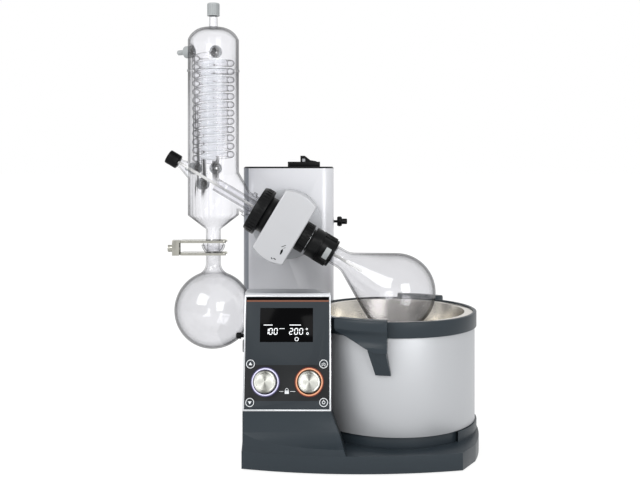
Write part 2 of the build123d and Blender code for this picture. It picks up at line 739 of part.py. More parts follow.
def condenser_column(shrink, low, high):
    """Upright part of the condenser; shrink makes its inner surface."""
    r = CONDENSER_R - shrink
    out = OUTLET_R - shrink
    tip = 6.5 - shrink / 2
    rise = shrink * 0.7
    dome = ThreePointArc(
        (r, SHOULDER_Z), (r - 9, SHOULDER_Z + 13 - rise), (tip + 1, DOME_Z - rise))
    edges = [
        Line((0, low), (out, low)),
        Line((out, low), (out, FUNNEL_LOW)),
        Line((out, FUNNEL_LOW), (r, FUNNEL_TOP)),
        Line((r, FUNNEL_TOP), (r, SHOULDER_Z)),
        dome,
        Line((tip + 1, DOME_Z - rise), (tip, high)),
        Line((tip, high), (0, high)),
        Line((0, high), (0, low)),
    ]
    return turned_curve(edges)


def side_arm(shrink, end):
    """Conical arm along the drive axis that meets the head."""
    slope = (ARM_CONE_R - ARM_R) / (ARM_NECK_T - ARM_CONE_T)
    wide = ARM_CONE_R - shrink
    neck = ARM_R - shrink
    centre = (CONDENSER_X - PIVOT_X) / math.cos(ALONG)
    offset = shrink * slope / 3
    return turned([
        (0, centre), (wide, centre), (wide, ARM_CONE_T - offset), (neck, ARM_NECK_T - offset),
        (neck, end), (0, end)])


def feed_port(shrink, end):
    """Neck at the far side of the condenser for the feed cap."""
    return turned([
        (0, -150), (15 - shrink, -150), (15 - shrink, -186), (7.6 - shrink, -206),
        (7.6 - shrink, -211), (FEED_R - shrink, -212), (FEED_R - shrink, end), (0, end)])


def radial(turn, height):
    """A place on the condenser's axis whose Z points out of its wall."""
    return Pos(CONDENSER_X, 0, height) * Rot(0, 0, turn) * Rot(0, 90, 0)


def condenser_jacket():
    """The condenser's glass body with its arm, ports and ball."""
    ball = Pos(0, 0, JOINT_Z) * Sphere(BALL_R)
    ball &= block(-30, 30, -30, 30, JOINT_Z - 13, JOINT_Z + 1)
    outer = CONDENSER * (condenser_column(0, JOINT_Z, NOZZLE_TOP) + ball)
    outer += CONDENSER * ring(CONDENSER_R + 1.2, CONDENSER_R - 1, WELD_Z - 1.2, WELD_Z + 1.2)
    outer += DRIVE * side_arm(0, FLANGE_T)
    outer += DRIVE * ring(ARM_FLANGE_R, ARM_R - 1, FLANGE_T - FLANGE_W, FLANGE_T)
    outer += DRIVE * ring(ARM_R + 4, ARM_R - 1, -75, -69)
    outer += DRIVE * feed_port(0, FEED_CAP_LEFT + 5.2)
    for turn, height in CONNECTIONS.values():
        outer += radial(turn, height) * rod(STUB_R, CONDENSER_R - 4, STUB_END)
    inner = CONDENSER * condenser_column(GLASS_T, JOINT_Z - 20, NOZZLE_TOP + 1)
    inner += DRIVE * side_arm(GLASS_T, FLANGE_T + 1)
    inner += DRIVE * feed_port(1.8, FEED_CAP_LEFT + 4)
    for turn, height in CONNECTIONS.values():
        inner += radial(turn, height) * rod(STUB_R - 2, CONDENSER_R - 8, STUB_END + 1)
    return outer - inner


def coil(radius, tube_r, low, turns, start, pitch):
    """A glass tube wound into a helix about the condenser's axis."""
    path = Pos(0, 0, low) * Rot(0, 0, start) * Helix(pitch, pitch * turns, radius)
    begin = path @ 0
    section = Plane(origin=begin, z_dir=path % 0) * Circle(tube_r)
    body = sweep(section, path=path, is_frenet=True)
    return body, begin, path @ 1


def cooling_coils():
    """Outer and inner cooling coils, held by the glass of their water connections."""
    turn_in = WATER_IN[0]
    outer, foot, head = coil(COIL_R, COIL_TUBE_R, COIL_LOW, COIL_TURNS, turn_in, COIL_PITCH)
    reach = CONDENSER_R - GLASS_T - 0.3
    outer += Pos(*foot) * Sphere(COIL_TUBE_R)
    outer += Pos(*head) * Sphere(COIL_TUBE_R)
    outer += Pos(0, 0, foot.Z) * Rot(0, 0, turn_in) * Rot(0, 90, 0) * rod(4, COIL_R, reach)
    head_turn = math.degrees(math.atan2(head.Y, head.X))
    outer += Pos(0, 0, head.Z) * Rot(0, 0, head_turn) * Rot(0, 90, 0) * rod(4, COIL_R, reach)
    inner, foot, head = coil(
        INNER_COIL_R, INNER_COIL_TUBE_R, COIL_LOW + 4, COIL_TURNS - 0.5, turn_in, COIL_PITCH)
    joint = COIL_R - INNER_COIL_R - COIL_TUBE_R + 0.5
    for end in (foot, head):
        inner += Pos(*end) * Sphere(INNER_COIL_TUBE_R)
        turn = math.degrees(math.atan2(end.Y, end.X))
        link = Pos(INNER_COIL_R, 0, 0) * Rot(0, 90, 0) * rod(3, 0, joint)
        inner += Pos(0, 0, end.Z) * Rot(0, 0, turn) * link
    return [CONDENSER * outer, CONDENSER * inner]


def hose_caps():
    """Grey screw caps with hose barbs on the condenser's rear connections."""
    end = STUB_END
    cap = turned([
        (STUB_R + FIT, end - CAP14_LEN + 3), (CAP14_R, end - CAP14_LEN + 3), (CAP14_R, end + 2),
        (CAP14_R - 1, end + 3), (BARB_R - 0.6, end + 3), (BARB_R, end + 6),
        (BARB_R, end + 3 + BARB_LEN), (BARB_R - 1, end + 4 + BARB_LEN),
        (BARB_R - 2, end + 4 + BARB_LEN), (BARB_R - 2, end + FIT), (STUB_R + FIT, end + FIT)])
    return [radial(turn, height) * cap for turn, height in CONNECTIONS.values()]


def top_cap():
    """Ribbed cap on the condenser's top."""
    low = NOZZLE_TOP - 11
    inner = 6.5 + 3
    body = turned([
        (7, low), (CAP14_R, low), (CAP14_R, low + 20), (CAP14_R - 1, low + 21.3),
        (0, low + 21.3), (0, NOZZLE_TOP + FIT), (7, NOZZLE_TOP + FIT)])
    return CONDENSER * ribbed(body, CAP14_R, 20, low + 2, low + 18, 0.6)


def receiver_shape(shrink, top):
    """Round receiving flask with a blended neck; shrink makes its inner surface."""
    r = RECEIVER_R - shrink
    neck = OUTLET_R - shrink
    blend = RECEIVER_BLEND + shrink
    across = neck + blend
    rise = math.sqrt((r + blend) ** 2 - across ** 2)
    centre = (across, RECEIVER_Z + rise)
    on_neck = (neck, centre[1])
    share = r / (r + blend)
    on_ball = (across * share, RECEIVER_Z + rise * share)
    mid_x = (on_neck[0] + on_ball[0]) / 2 - centre[0]
    mid_z = (on_neck[1] + on_ball[1]) / 2 - centre[1]
    size = blend / math.hypot(mid_x, mid_z)
    mid = (centre[0] + mid_x * size, centre[1] + mid_z * size)
    edges = [
        Line((0, top), (neck, top)),
        Line((neck, top), on_neck),
        ThreePointArc(on_neck, mid, on_ball),
        ThreePointArc(on_ball, (r, RECEIVER_Z), (0, RECEIVER_Z - r)),
        Line((0, RECEIVER_Z - r), (0, top)),
    ]
    return turned_curve(edges)


def receiving_flask():
    """One-litre receiving flask with the cup of the ball joint."""
    cup = Pos(0, 0, JOINT_Z) * Sphere(CUP_R)
    cup &= block(-30, 30, -30, 30, JOINT_Z - 18, JOINT_Z - 3)
    hollow = Pos(0, 0, JOINT_Z) * Sphere(BALL_R + FIT)
    outer = receiver_shape(0, JOINT_Z - 14) + cup
    inner = receiver_shape(GLASS_T, JOINT_Z)
    return CONDENSER * (outer - inner - hollow)


# Clamp on the ball joint

def fork(low, slot):
    """A fork plate with an open slot towards the right."""
    plate = block(FORK_LEFT, FORK_RIGHT, -FORK_HALF_W, FORK_HALF_W, low, low + FORK_T)
    plate = fillet(plate.edges().filter_by(Axis.Z), 5)
    gap = rod(slot, low - 1, low + FORK_T + 1)
    gap += block(0, FORK_RIGHT + 5, -slot, slot, low - 1, low + FORK_T + 1)
    return plate - gap


FORK_HIGH_Z = JOINT_Z + 1.2
FORK_LOW_Z = JOINT_Z - 19.6
FORK_SLOT = OUTLET_R + 0.5


def clamp_upper_fork():
    """Upper fork with the channel that carries the screw."""
    body = fork(FORK_HIGH_Z, FORK_SLOT)
    left = FORK_LEFT - 14
    body += block(left, FORK_LEFT + 6, -9, 9, FORK_HIGH_Z, FORK_HIGH_Z + FORK_T)
    back = block(left, left + 3, -9, 9, FORK_LOW_Z + 4, FORK_HIGH_Z + 1)
    sides = [block(left, FORK_LEFT - 2, y, y + 2, FORK_LOW_Z - 1, FORK_HIGH_Z + 1)
             for y in (-9, 7)]
    body += back
    body += sides
    pin = Pos(FORK_LEFT - 6, 0, FORK_LOW_Z + 2) * Rot(90, 0, 0) * rod(1.5, -8, 8)
    return CONDENSER * (body + pin - screw_hole())


def screw_hole():
    """Clearance for the locking screw."""
    return Pos(0, 0, JOINT_Z - 9) * Rot(0, 90, 0) * rod(2 + RUN, FORK_SCREW_X - 12, FORK_LEFT)


def clamp_lower_fork():
    """Lower fork that swings on the channel's pin."""
    body = fork(FORK_LOW_Z, FORK_SLOT + 0.3)
    body += block(FORK_LEFT - 9, FORK_LEFT + 6, -6, 6, FORK_LOW_Z, FORK_LOW_Z + FORK_T)
    body -= Pos(FORK_LEFT - 6, 0, FORK_LOW_Z + 2) * Rot(90, 0, 0) * rod(1.5 + RUN, -8, 8)
    return CONDENSER * body


def clamp_screw():
    """Locking screw of the clamp with its knurled head."""
    left = FORK_LEFT - 14
    screw = rod(2, left - 1, FORK_LEFT - 3)
    screw += ribbed(rod(6, left - 8, left - FREE), 6, 16, left - 7, left - 1, 0.4)
    return CONDENSER * Pos(0, 0, JOINT_Z - 9) * Rot(0, 90, 0) * screw


# Console

def console_outline(inset=0.0):
    """Side profile of the console in Y and Z."""
    points = [
        (PANEL_LOW_Y + inset, PLINTH_TOP + inset),
        (PANEL_LOW_Y + inset, PANEL_LOW_Z),
        (PANEL_TOP_Y + inset, PANEL_TOP_Z - inset),
        (CONSOLE_REAR - inset, PANEL_TOP_Z - inset),
        (CONSOLE_REAR - inset, PLINTH_TOP + inset),
    ]
    return make_face(Polyline(*points, close=True))


def bath_recess(wall):
    """The round space that the console leaves for the bath."""
    return BATH * rod(BATH_COLLAR_R + BATH_GAP + wall, 0, PANEL_TOP_Z + 50)


def console_foot():
    """Bowed foot that sweeps forward from the panel to the plinth's front edge."""
    end = (CONSOLE_RIGHT + FLARE_OUT, PANEL_LOW_Y + 1)
    start = (CONSOLE_LEFT, PANEL_LOW_Y + 1)
    plinth = extrude(base_outline(), PANEL_LOW_Z)
    low_right = (end[0], BASE_FRONT - BASE_BOW)
    low_left = (start[0], BASE_FRONT - BASE_BOW)
    sweep_block = make_face(Polyline(start, end, low_right, low_left, close=True))
    foot = Pos(0, 0, PLINTH_TOP) * extrude(sweep_block, PANEL_LOW_Z - PLINTH_TOP) & plinth
    hollow = [
        Line((PANEL_LOW_Y, PANEL_LOW_Z + 1), (BASE_FRONT - BASE_BOW - 5, PANEL_LOW_Z + 1)),
        Line((BASE_FRONT - BASE_BOW - 5, PANEL_LOW_Z + 1), (BASE_FRONT - BASE_BOW - 5, FOOT_EDGE_Z)),
        ThreePointArc((BASE_FRONT - BASE_BOW - 5, FOOT_EDGE_Z), (PANEL_LOW_Y - 9, FOOT_EDGE_Z + 9),
                      (PANEL_LOW_Y, PANEL_LOW_Z + 1)),
    ]
    scoop = Pos(CONSOLE_LEFT - 5, 0, 0) * extrude(Plane.YZ * make_face(hollow), CONSOLE_W + 60)
    flare = [
        ThreePointArc((CONSOLE_RIGHT, PANEL_LOW_Z), (CONSOLE_RIGHT + 10.5, FLARE_MID_Z),
                      (CONSOLE_RIGHT + FLARE_OUT, PLINTH_TOP)),
        Line((CONSOLE_RIGHT + FLARE_OUT, PLINTH_TOP), (CONSOLE_RIGHT + 60, PLINTH_TOP)),
        Line((CONSOLE_RIGHT + 60, PLINTH_TOP), (CONSOLE_RIGHT + 60, PANEL_LOW_Z)),
        Line((CONSOLE_RIGHT + 60, PANEL_LOW_Z), (CONSOLE_RIGHT, PANEL_LOW_Z)),
    ]
    side = Pos(0, -100, 0) * extrude(Plane.XZ * make_face(flare), 100)
    return foot - scoop - side


def console_housing():
    """Dark console shell with its flared foot."""
    place = Pos(CONSOLE_LEFT, 0, 0)
    body = place * extrude(Plane.YZ * console_outline(), CONSOLE_W) - bath_recess(0)
    wall = CONSOLE_WALL
    inner = extrude(Plane.YZ * console_outline(wall), CONSOLE_W - 2 * wall)
    body -= Pos(CONSOLE_LEFT + wall, 0, 0) * inner - bath_recess(wall)
    window = Pos(CONSOLE_X, PANEL_LEN / 2, 0)
    size = (CONSOLE_W - 2 * TRIM_W, PANEL_LEN - 2 * TRIM_W)
    body -= PANEL * window * Box(size[0], size[1], 2 * (PANEL_T + 1.5))
    flare = [
        ThreePointArc((CONSOLE_RIGHT - 1, PANEL_LOW_Z), (CONSOLE_RIGHT + 10, FLARE_MID_Z),
                      (CONSOLE_RIGHT + FLARE_OUT, PLINTH_TOP)),
        Line((CONSOLE_RIGHT + FLARE_OUT, PLINTH_TOP), (CONSOLE_RIGHT - 1, PLINTH_TOP)),
        Line((CONSOLE_RIGHT - 1, PLINTH_TOP), (CONSOLE_RIGHT - 1, PANEL_LOW_Z)),
    ]
    side = extrude(Plane.XZ * make_face(flare), FLARE_DEPTH)
    body += Pos(0, PANEL_LOW_Y + FLARE_DEPTH, 0) * side
    return body + console_foot()


def console_trim():
    """Silver frame round the panel and the silver top."""
    outer = Box(CONSOLE_W, PANEL_LEN, TRIM_T)
    hole = Box(CONSOLE_W - 2 * TRIM_W, PANEL_LEN - 2 * TRIM_W, TRIM_T + 1)
    frame = PANEL * Pos(CONSOLE_X, PANEL_LEN / 2, TRIM_T / 2) * (outer - hole)
    top = block(CONSOLE_LEFT, CONSOLE_RIGHT, PANEL_TOP_Y, CONSOLE_REAR,
                PANEL_TOP_Z, PANEL_TOP_Z + TOP_COVER_T)
    top = fillet(top.edges().filter_by(Axis.Z), 2) - bath_recess(0)
    return frame + top


def panel_face():
    """Front panel with its openings."""
    size = (CONSOLE_W - 2 * TRIM_W - 2 * FIT, PANEL_LEN - 2 * TRIM_W - 2 * FIT)
    body = Pos(CONSOLE_X, PANEL_LEN / 2, -PANEL_T / 2) * Box(size[0], size[1], PANEL_T)
    screen = Box(DISPLAY_W + 2 * FIT, DISPLAY_H + 2 * FIT, 3 * PANEL_T)
    body -= Pos(DISPLAY_X, DISPLAY_UP, 0) * screen
    for x in KNOB_XS:
        body -= Pos(x, KNOB_UP, 0) * rod(KNOB_SHAFT_R + FREE, -2 * PANEL_T, PANEL_T)
        body -= Pos(x, KNOB_UP, 0) * rod(KNOB_RING_R + FIT, -1.2, PANEL_T)
    for x, up in KEYS.values():
        body -= Pos(x, up, 0) * rod(KEY_R + FREE, -2 * PANEL_T, PANEL_T)
    return PANEL * body


def display_window():
    """Dark display window."""
    window = Pos(DISPLAY_X, DISPLAY_UP, -1.4) * Box(DISPLAY_W, DISPLAY_H, 2.4)
    return PANEL * window


def knob_light_rings():
    """Lit rings round the two knobs."""
    light = turned([
        (KNOB_R + 0.8, -1.1), (KNOB_RING_R, -1.1), (KNOB_RING_R, 1.4), (KNOB_RING_R - 0.6, 2),
        (KNOB_R + 1.4, 2), (KNOB_R + 0.8, 1.4)])
    return [PANEL * Pos(x, KNOB_UP, 0) * light for x in KNOB_XS]


def knob(x):
    """Turned aluminium knob on its encoder shaft."""
    body = turned([
        (0, FREE), (KNOB_R, FREE), (KNOB_R, KNOB_H - 1.5), (KNOB_R - 1.5, KNOB_H),
        (KNOB_R - 3.5, KNOB_H), (KNOB_R - 4, KNOB_H - 0.6), (0, KNOB_H - 0.6)])
    mark = Pos(0, KNOB_R - 4, KNOB_H - 0.6) * Box(1.6, 5, 1.6)
    shaft = rod(KNOB_SHAFT_R, -8, 1)
    return PANEL * Pos(x, KNOB_UP, 0) * (body + shaft - mark)


def key(name):
    """Round key that travels into the panel."""
    x, up = KEYS[name]
    cap = turned([
        (0, -KEY_T), (KEY_R, -KEY_T), (KEY_R, 0.3), (KEY_R - 0.4, 0.7), (0, 0.7)])
    return PANEL * Pos(x, up, 0) * cap


def control_board():
    """Circuit board behind the panel with the display and the two encoders."""
    depth = PANEL_T + 9
    height = PANEL_LEN - 24
    board = Pos(CONSOLE_X, PANEL_LEN / 2, -depth) * Box(CONSOLE_W - 14, height, BOARD_T)
    screen_t = depth - BOARD_T / 2 - 2.7
    middle = -2.7 - screen_t / 2 - FIT
    board += Pos(DISPLAY_X, DISPLAY_UP, middle) * Box(DISPLAY_W - 4, DISPLAY_H - 4, screen_t)
    for x in KNOB_XS:
        encoder = Pos(0, 0, -depth + 3.4) * Box(12, 12, 6)
        board += Pos(x, KNOB_UP, 0) * (encoder - rod(KNOB_SHAFT_R + RUN, -8.3, 0))
    for x, up in KEYS.values():
        board += Pos(x, up, 0) * rod(1.5, -depth, -KEY_T - KEY_TRAVEL - 0.3)
    post = Pos(CONSOLE_X, 17, 0) * rod(3, -depth, -PANEL_T - FIT)
    board += post
    return PANEL * board


def side_ports():
    """Interface cover and capped socket at the console's left side."""
    face = CONSOLE_LEFT - FIT
    cover = block(face - 3.6, face, -104, -86, 171, 190)
    cover = fillet(cover.edges().filter_by(Axis.X), 5)
    cap = turned([(0, 0), (3, 0), (3, 6.5), (5, 6.5), (5, 13.5), (4, 14.5), (0, 14.5)])
    cap = Pos(face, -95, 196.5) * Rot(0, -90, 0) * cap
    return [cover, cap]


# Heating bath

def bath_pot():
    """Deep-drawn stainless pot with its flat rim."""
    r, t = BATH_RIM_R_IN, POT_T
    rim = BATH_COLLAR_R - 6
    outer = [
        (0, POT_FLOOR_Z - t), (r - 14 + t, POT_FLOOR_Z - t), (r + t, POT_FLOOR_Z + 14),
        (r + t, BATH_RIM_Z - t), (rim, BATH_RIM_Z - t), (rim, BATH_RIM_Z),
        (r, BATH_RIM_Z), (r, POT_FLOOR_Z + 14), (r - 14, POT_FLOOR_Z), (0, POT_FLOOR_Z)]
    return BATH * turned(outer)


def bath_shell():
    """Silver outer wall of the bath with its bottom."""
    r, t = BATH_R, SHELL_T
    low = BATH_SHELL_Z
    return BATH * turned([
        (0, low), (r, low), (r, BATH_COLLAR_Z), (r - t, BATH_COLLAR_Z), (r - t, low + t),
        (0, low + t)])


def bath_collar():
    """Dark plastic collar between the rim and the wall."""
    low, high = BATH_COLLAR_Z, BATH_RIM_Z - POT_T - FIT
    inner = BATH_RIM_R_IN + POT_T + FIT
    step = BATH_R - SHELL_T - FIT
    return BATH * turned([
        (inner, low - 8), (step, low - 8), (step, low + FIT), (BATH_COLLAR_R, low + FIT),
        (BATH_COLLAR_R, BATH_RIM_Z + 1.2), (BATH_COLLAR_R - 1.5, BATH_RIM_Z + 2),
        (BATH_COLLAR_R - 5.8, BATH_RIM_Z + 2), (BATH_COLLAR_R - 5.8, high), (inner, high)])


def bath_handle(turn):
    """Moulded grip with a finger groove and a leg that rests on the wall."""
    top = HANDLE_TOP
    start = BATH_COLLAR_R + FIT
    r = HANDLE_R
    groove = ThreePointArc((r, top - 17), (r - 8, top - 27), (r - 3, top - 37))
    edges = [
        Line((start, top - 8), (start + 4, top)),
        Line((start + 4, top), (r - 4, top)),
        ThreePointArc((r - 4, top), (r - 1.2, top - 1.2), (r, top - 4)),
        Line((r, top - 4), (r, top - 17)),
        groove,
        Line((r - 3, top - 37), (r - 2, HANDLE_LOW)),
        Line((r - 2, HANDLE_LOW), (start, HANDLE_LOW)),
        Line((start, HANDLE_LOW), (start, top - 8)),
    ]
    sweep_face = Plane.XZ * make_face(edges)
    grip = revolve(sweep_face, Axis.Z, HANDLE_SPAN)
    grip = Rot(0, 0, -HANDLE_SPAN / 2) * grip
    corner = Rot(0, 0, -HANDLE_SPAN / 2) * Pos(r, 0, HANDLE_LOW - 6) * Rot(17, 0, 0)
    grip -= corner * Box(80, 160, 26)
    leg_top = Plane(origin=(r - 9, 0, HANDLE_LOW + 6)) * Rectangle(14, HANDLE_LEG_W)
    leg_low = Plane(origin=(BATH_R + 3, 8, HANDLE_LEG_Z)) * Rectangle(5, HANDLE_LEG_W - 4)
    leg = loft([leg_top, leg_low])
    leg = Rot(0, 0, HANDLE_SPAN / 2 - 6) * leg
    wall = rod(BATH_R + FIT, HANDLE_LEG_Z - 5, HANDLE_TOP)
    body = grip + leg - wall
    return Rot(0, 0, turn) * body


def bath_handles():
    """Two handles, opposite each other."""
    return [BATH * bath_handle(HANDLE_ANGLE), BATH * bath_handle(HANDLE_ANGLE + 180)]


def bath_foot_ring():
    """Dark foot of the bath that sits in the base's seat."""
    low = BATH_SEAT_Z + 0.3
    return BATH * turned([
        (BATH_FOOT_R - 14, low), (BATH_FOOT_R - 1, low), (BATH_FOOT_R, low + 1),
        (BATH_FOOT_R, BATH_SHELL_Z - FIT), (BATH_FOOT_R - 14, BATH_SHELL_Z - FIT)])


def bath_heater():
    """Heating plate clamped under the pot's floor."""
    high = POT_FLOOR_Z - POT_T - FIT
    plate = rod(90, high - 6, high)
    return BATH * (plate + rod(12, BATH_SHELL_Z + SHELL_T + FIT, high))


def build():
    """All pieces by node name."""
    pieces = {
        "base_platform": base_platform(),
        "base_plate": base_plate(),
        "rubber_feet": rubber_feet(),
        "mains_inlet": mains_inlet(),
        "circuit_boards": [power_board(), control_board()],
        "lift_column": lift_column(),
        "lift_motor": lift_motor(),
        "lift_screw": lift_screw(),
        "console_housing": console_housing(),
        "console_trim": console_trim(),
        "panel_face": panel_face(),
        "display_window": display_window(),
        "knob_light_rings": knob_light_rings(),
        "side_ports": side_ports(),
        "knob_heating": knob(KNOB_XS[0]),
        "knob_rotation": knob(KNOB_XS[1]),
        "tower_sleeve": tower_sleeve(),
        "tower_cap": tower_cap(),
        "glide_pads": glide_pads(),
        "lift_nut": lift_nut(),
        "hose_clip_base": hose_clip_base(),
        "hose_clip_latch": hose_clip_latch(),
        "tilt_lock_knob": tilt_lock_knob(),
        "tilt_bearing": tilt_bearing(),
        "head_housing": head_housing(),
        "head_front_cover": head_front_cover(),
        "pivot_drum": pivot_drum(),
        "tilt_shaft": tilt_shaft(),
        "head_flange": head_flange(),
        "vapour_seal": vapour_seal(),
        "drive_bearings": drive_bearings(),
        "drive_motor": drive_motor(),
        "motor_pinion": motor_pinion(),
        "hollow_shaft": hollow_shaft(),
        "drive_gear": drive_gear(),
        "vapour_tube": vapour_tube(),
        "union_nut": union_nut(),
        "ejector_nut": ejector_nut(),
        "flask_clip": flask_clip(),
        "evaporating_flask": evaporating_flask(),
        "condenser_jacket": condenser_jacket(),
        "cooling_coils": cooling_coils(),
        "hose_caps": hose_caps(),
        "top_cap": top_cap(),
        "feed_cap": feed_cap(),
        "feed_tube": feed_tube(),
        "receiving_flask": receiving_flask(),
        "clamp_upper_fork": clamp_upper_fork(),
        "clamp_lower_fork": clamp_lower_fork(),
        "clamp_screw": clamp_screw(),
        "bath_pot": bath_pot(),
        "bath_shell": bath_shell(),
        "bath_collar": bath_collar(),
        "bath_handles": bath_handles(),
        "bath_foot_ring": bath_foot_ring(),
        "bath_heater": bath_heater(),
    }
    for name in KEYS:
        pieces[name] = key(name)
    return pieces


def solids_of(piece):
    """The separate solids of a piece or of a list of pieces."""
    if isinstance(piece, (list, tuple, ShapeList)):
        return [solid for item in piece for solid in solids_of(item)]
    return list(piece.solids())


os.makedirs("parts", exist_ok=True)
for node, piece in build().items():
    export_step(Compound(children=solids_of(piece)), f"parts/{node}.step")
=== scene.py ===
"""Visible surfaces of a bench rotary evaporator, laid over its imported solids.

Everything is in metres: +X to the operator's right, +Y away from the operator, +Z up.
"""

import json
import math

import bpy
from mathutils import Matrix, Vector

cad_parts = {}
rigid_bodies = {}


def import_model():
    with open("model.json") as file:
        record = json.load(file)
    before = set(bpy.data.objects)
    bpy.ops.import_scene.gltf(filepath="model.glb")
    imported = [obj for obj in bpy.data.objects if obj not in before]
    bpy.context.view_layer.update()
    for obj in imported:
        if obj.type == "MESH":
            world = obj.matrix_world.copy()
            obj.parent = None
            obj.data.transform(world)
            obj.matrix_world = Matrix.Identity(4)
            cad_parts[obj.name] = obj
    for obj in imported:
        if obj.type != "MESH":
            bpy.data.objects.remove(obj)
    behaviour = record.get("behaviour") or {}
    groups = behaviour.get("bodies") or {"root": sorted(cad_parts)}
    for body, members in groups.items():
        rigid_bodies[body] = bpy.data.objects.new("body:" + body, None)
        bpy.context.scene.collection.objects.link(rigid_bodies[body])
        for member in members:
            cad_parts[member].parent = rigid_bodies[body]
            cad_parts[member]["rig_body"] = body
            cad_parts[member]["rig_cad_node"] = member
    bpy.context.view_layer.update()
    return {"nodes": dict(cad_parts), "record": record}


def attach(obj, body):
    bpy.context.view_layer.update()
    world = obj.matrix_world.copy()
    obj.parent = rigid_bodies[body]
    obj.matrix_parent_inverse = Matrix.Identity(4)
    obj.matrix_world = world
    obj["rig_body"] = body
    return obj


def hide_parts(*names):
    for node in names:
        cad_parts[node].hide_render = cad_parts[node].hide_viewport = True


bl_info = {
    "name": "Rotary evaporator",
    "version": (1, 0, 0),
    "blender": (4, 5, 0),
    "location": "View3D > Sidebar > Evaporator",
    "description": "Builds the visible surfaces of a bench rotary evaporator",
    "category": "Object",
}

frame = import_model()
NODES = frame["nodes"]
MM = 0.001
PER_METRE = 1000

# Slots of the imported record by node
SLOTS = {row["node"]: row["material_slot"] for row in frame["record"]["subparts"]}

# The drive axis leans down to the right and passes through the tilt pivot
PIVOT = Vector((-57.8, 0, 365)) * MM
DRIVE_LEAN = math.radians(30.7)
DRIVE_DIR = Vector((math.cos(DRIVE_LEAN), 0, -math.sin(DRIVE_LEAN)))

# The control panel leans back by 15 degrees from its lower edge
PANEL_LOW = Vector((0, -150, 91)) * MM
PANEL_LEAN = math.radians(15)
PANEL_UP = Vector((0, math.sin(PANEL_LEAN), math.cos(PANEL_LEAN)))
PANEL_OUT = Vector((0, -math.cos(PANEL_LEAN), math.sin(PANEL_LEAN)))

# Prints on the panel, in millimetres of X and of height up the panel
FILM_LEFT, FILM_RIGHT = -116.2, 14.2
TOP_BAND = (169.6, 174.4)
ACCENT_LINE = (167.0, 169.4)
KNOB_BAND = (15.1, 69.2)
PRINT_H = 0.12
LOCK_LINES = ((-63.0, -56.6), (-46.0, -38.0))
LOCK_UP = 29.3

# Heights above the film, one for each kind of print
BAND_OUT = 0.01
MARK_OUT = 0.02
HALO_OUT = 0.03
RING_FACE = 1.99
KEY_FACE = 0.62

# Knobs by X, and their rings as outer and inner radius
KNOBS = {"knob_heating": -84.7, "knob_rotation": -16.7}
KNOB_UP = 43.5
# The gap's dark ring is painted shade where a knob meets its light ring
KNOB_GAP_SHADE = (18.9, 17.9)
KNOB_HALO = (22.4, 20.8)

# Keys by X and height, and the round prints on them
KEYS = {
    "key_lift_up": (-108.0, 70.7),
    "key_lift_down": (-108.0, 12.9),
    "key_heat": (5.6, 70.7),
    "key_power": (5.6, 12.9),
}
KEY_RIM = (6.7, 5.6)
POWER_DOT = (2.6, 1.6)

# Lit signs in the display
DISPLAY_OUT = -0.18
NUMBERS = {"100": (-86.5, -80.0, -72.2), "200": (-48.0, -40.2, -32.4)}
DIGIT_UP = 116.2
DIGIT_WIDTH = 4.8
DIGIT_HEIGHT = 9.0
DIGIT_STROKE = 1.15
DIGIT_SLANT = 0.08
SEGMENTS = {"0": "abcdef", "1": "bc", "2": "abged"}
# Left end, right end, height and width of each bar
DISPLAY_BARS = (
    (-88.5, -74.5, 130.6, 1.1), (-48.0, -30.0, 130.6, 1.1), (-64.0, -55.5, 125.0, 0.7))
# X, height, outer radius, inner radius and corners of each small ring
DISPLAY_RINGS = {
    "degree": (-20.6, 124.4, 1.5, 0.8, 20),
    "unit": (-19.6, 117.4, 1.9, 1.0, 20),
    "pump": (-36.5, 108.8, 3.1, 2.3, 28),
}

# A face of the tower that turns further left than this gets the painted shade of its flank
PAINTED_SHADE_TURN = -0.5

# Pale facet on the hose clip's latch: left, right, height of its middle, width, depth in Y
FACET = (-32.7, -27.3, 477.5, 6.4)
FACET_Y = 124.8
FACET_H = 0.5

# Marks on the head's cover lie on its face
COVER_FACE = -45.98
COVER_PRINT_H = 0.15

# Window of the flask clip: an arc round the drive axis
WINDOW_R = 22.2
WINDOW_FROM = 197
WINDOW_SPAN = 54
WINDOW_STEPS = 12
WINDOW_LENGTH = 9.4
WINDOW_WALL = 0.9
WINDOW_ALONG = 77.2

# Condenser: its axis, the inner coil's reach and the fused seam
CONDENSER_X = -181.2 * MM
INNER_COIL_OUT = 22 * MM
COIL_LOW = 470 * MM
COIL_TOP = 655 * MM
SEAM_R = 43.0
SEAM_THICK = 0.4
SEAM_UP = 628.5

# Grips of the bath: radius and height of each corner of the profile, in millimetres
BATH_X = 124.0 * MM
HANDLE_TURN = math.radians(-113.5)
HANDLE_SPAN = math.radians(31)
GRIP_STEPS = 18
GRIP_LOW = 180.0
GRIP_PROFILE = (
    (140.1, 222), (144.1, 230), (158, 230), (160.8, 228.8), (162, 226), (162, 214), (159.5, 210),
    (156.5, 206), (155, 201), (155.4, 196), (157.2, 191), (159.5, 188), (160, GRIP_LOW),
    (140.1, GRIP_LOW))
# The slanted cut below a grip starts at this radius and height, and the legs end at the last
GRIP_SLANT = math.radians(24)
CUT_R = 155 * MM
CUT_UP = 209 * MM
LEG_TOP = 184 * MM

# Rise of the painted edge shade in glass: how far a wall turns from the eye, and the rim's share
RIM_SHADE_FADE = ((0.84, 0.6), (0.66, 0.14), (0.45, 0.02))

# Sockets of a colour mix node
MIX_FACTOR = 0
MIX_A = 6
MIX_B = 7
MIX_OUT = 2

# The photo's camera, in pixels: frame width, focal length, horizon above the middle
FRAME_WIDTH = 640
FOCAL_LENGTH = 900
HORIZON_UP = 73.4

# Floor and background
FLOOR_SIZE = 60
FLOOR_MIDDLE_Y = 20
FLOOR_GLOW = 1.2
FLOOR_GLOW_SHARE = 0.7
STUDIO_LIGHT = 0.72


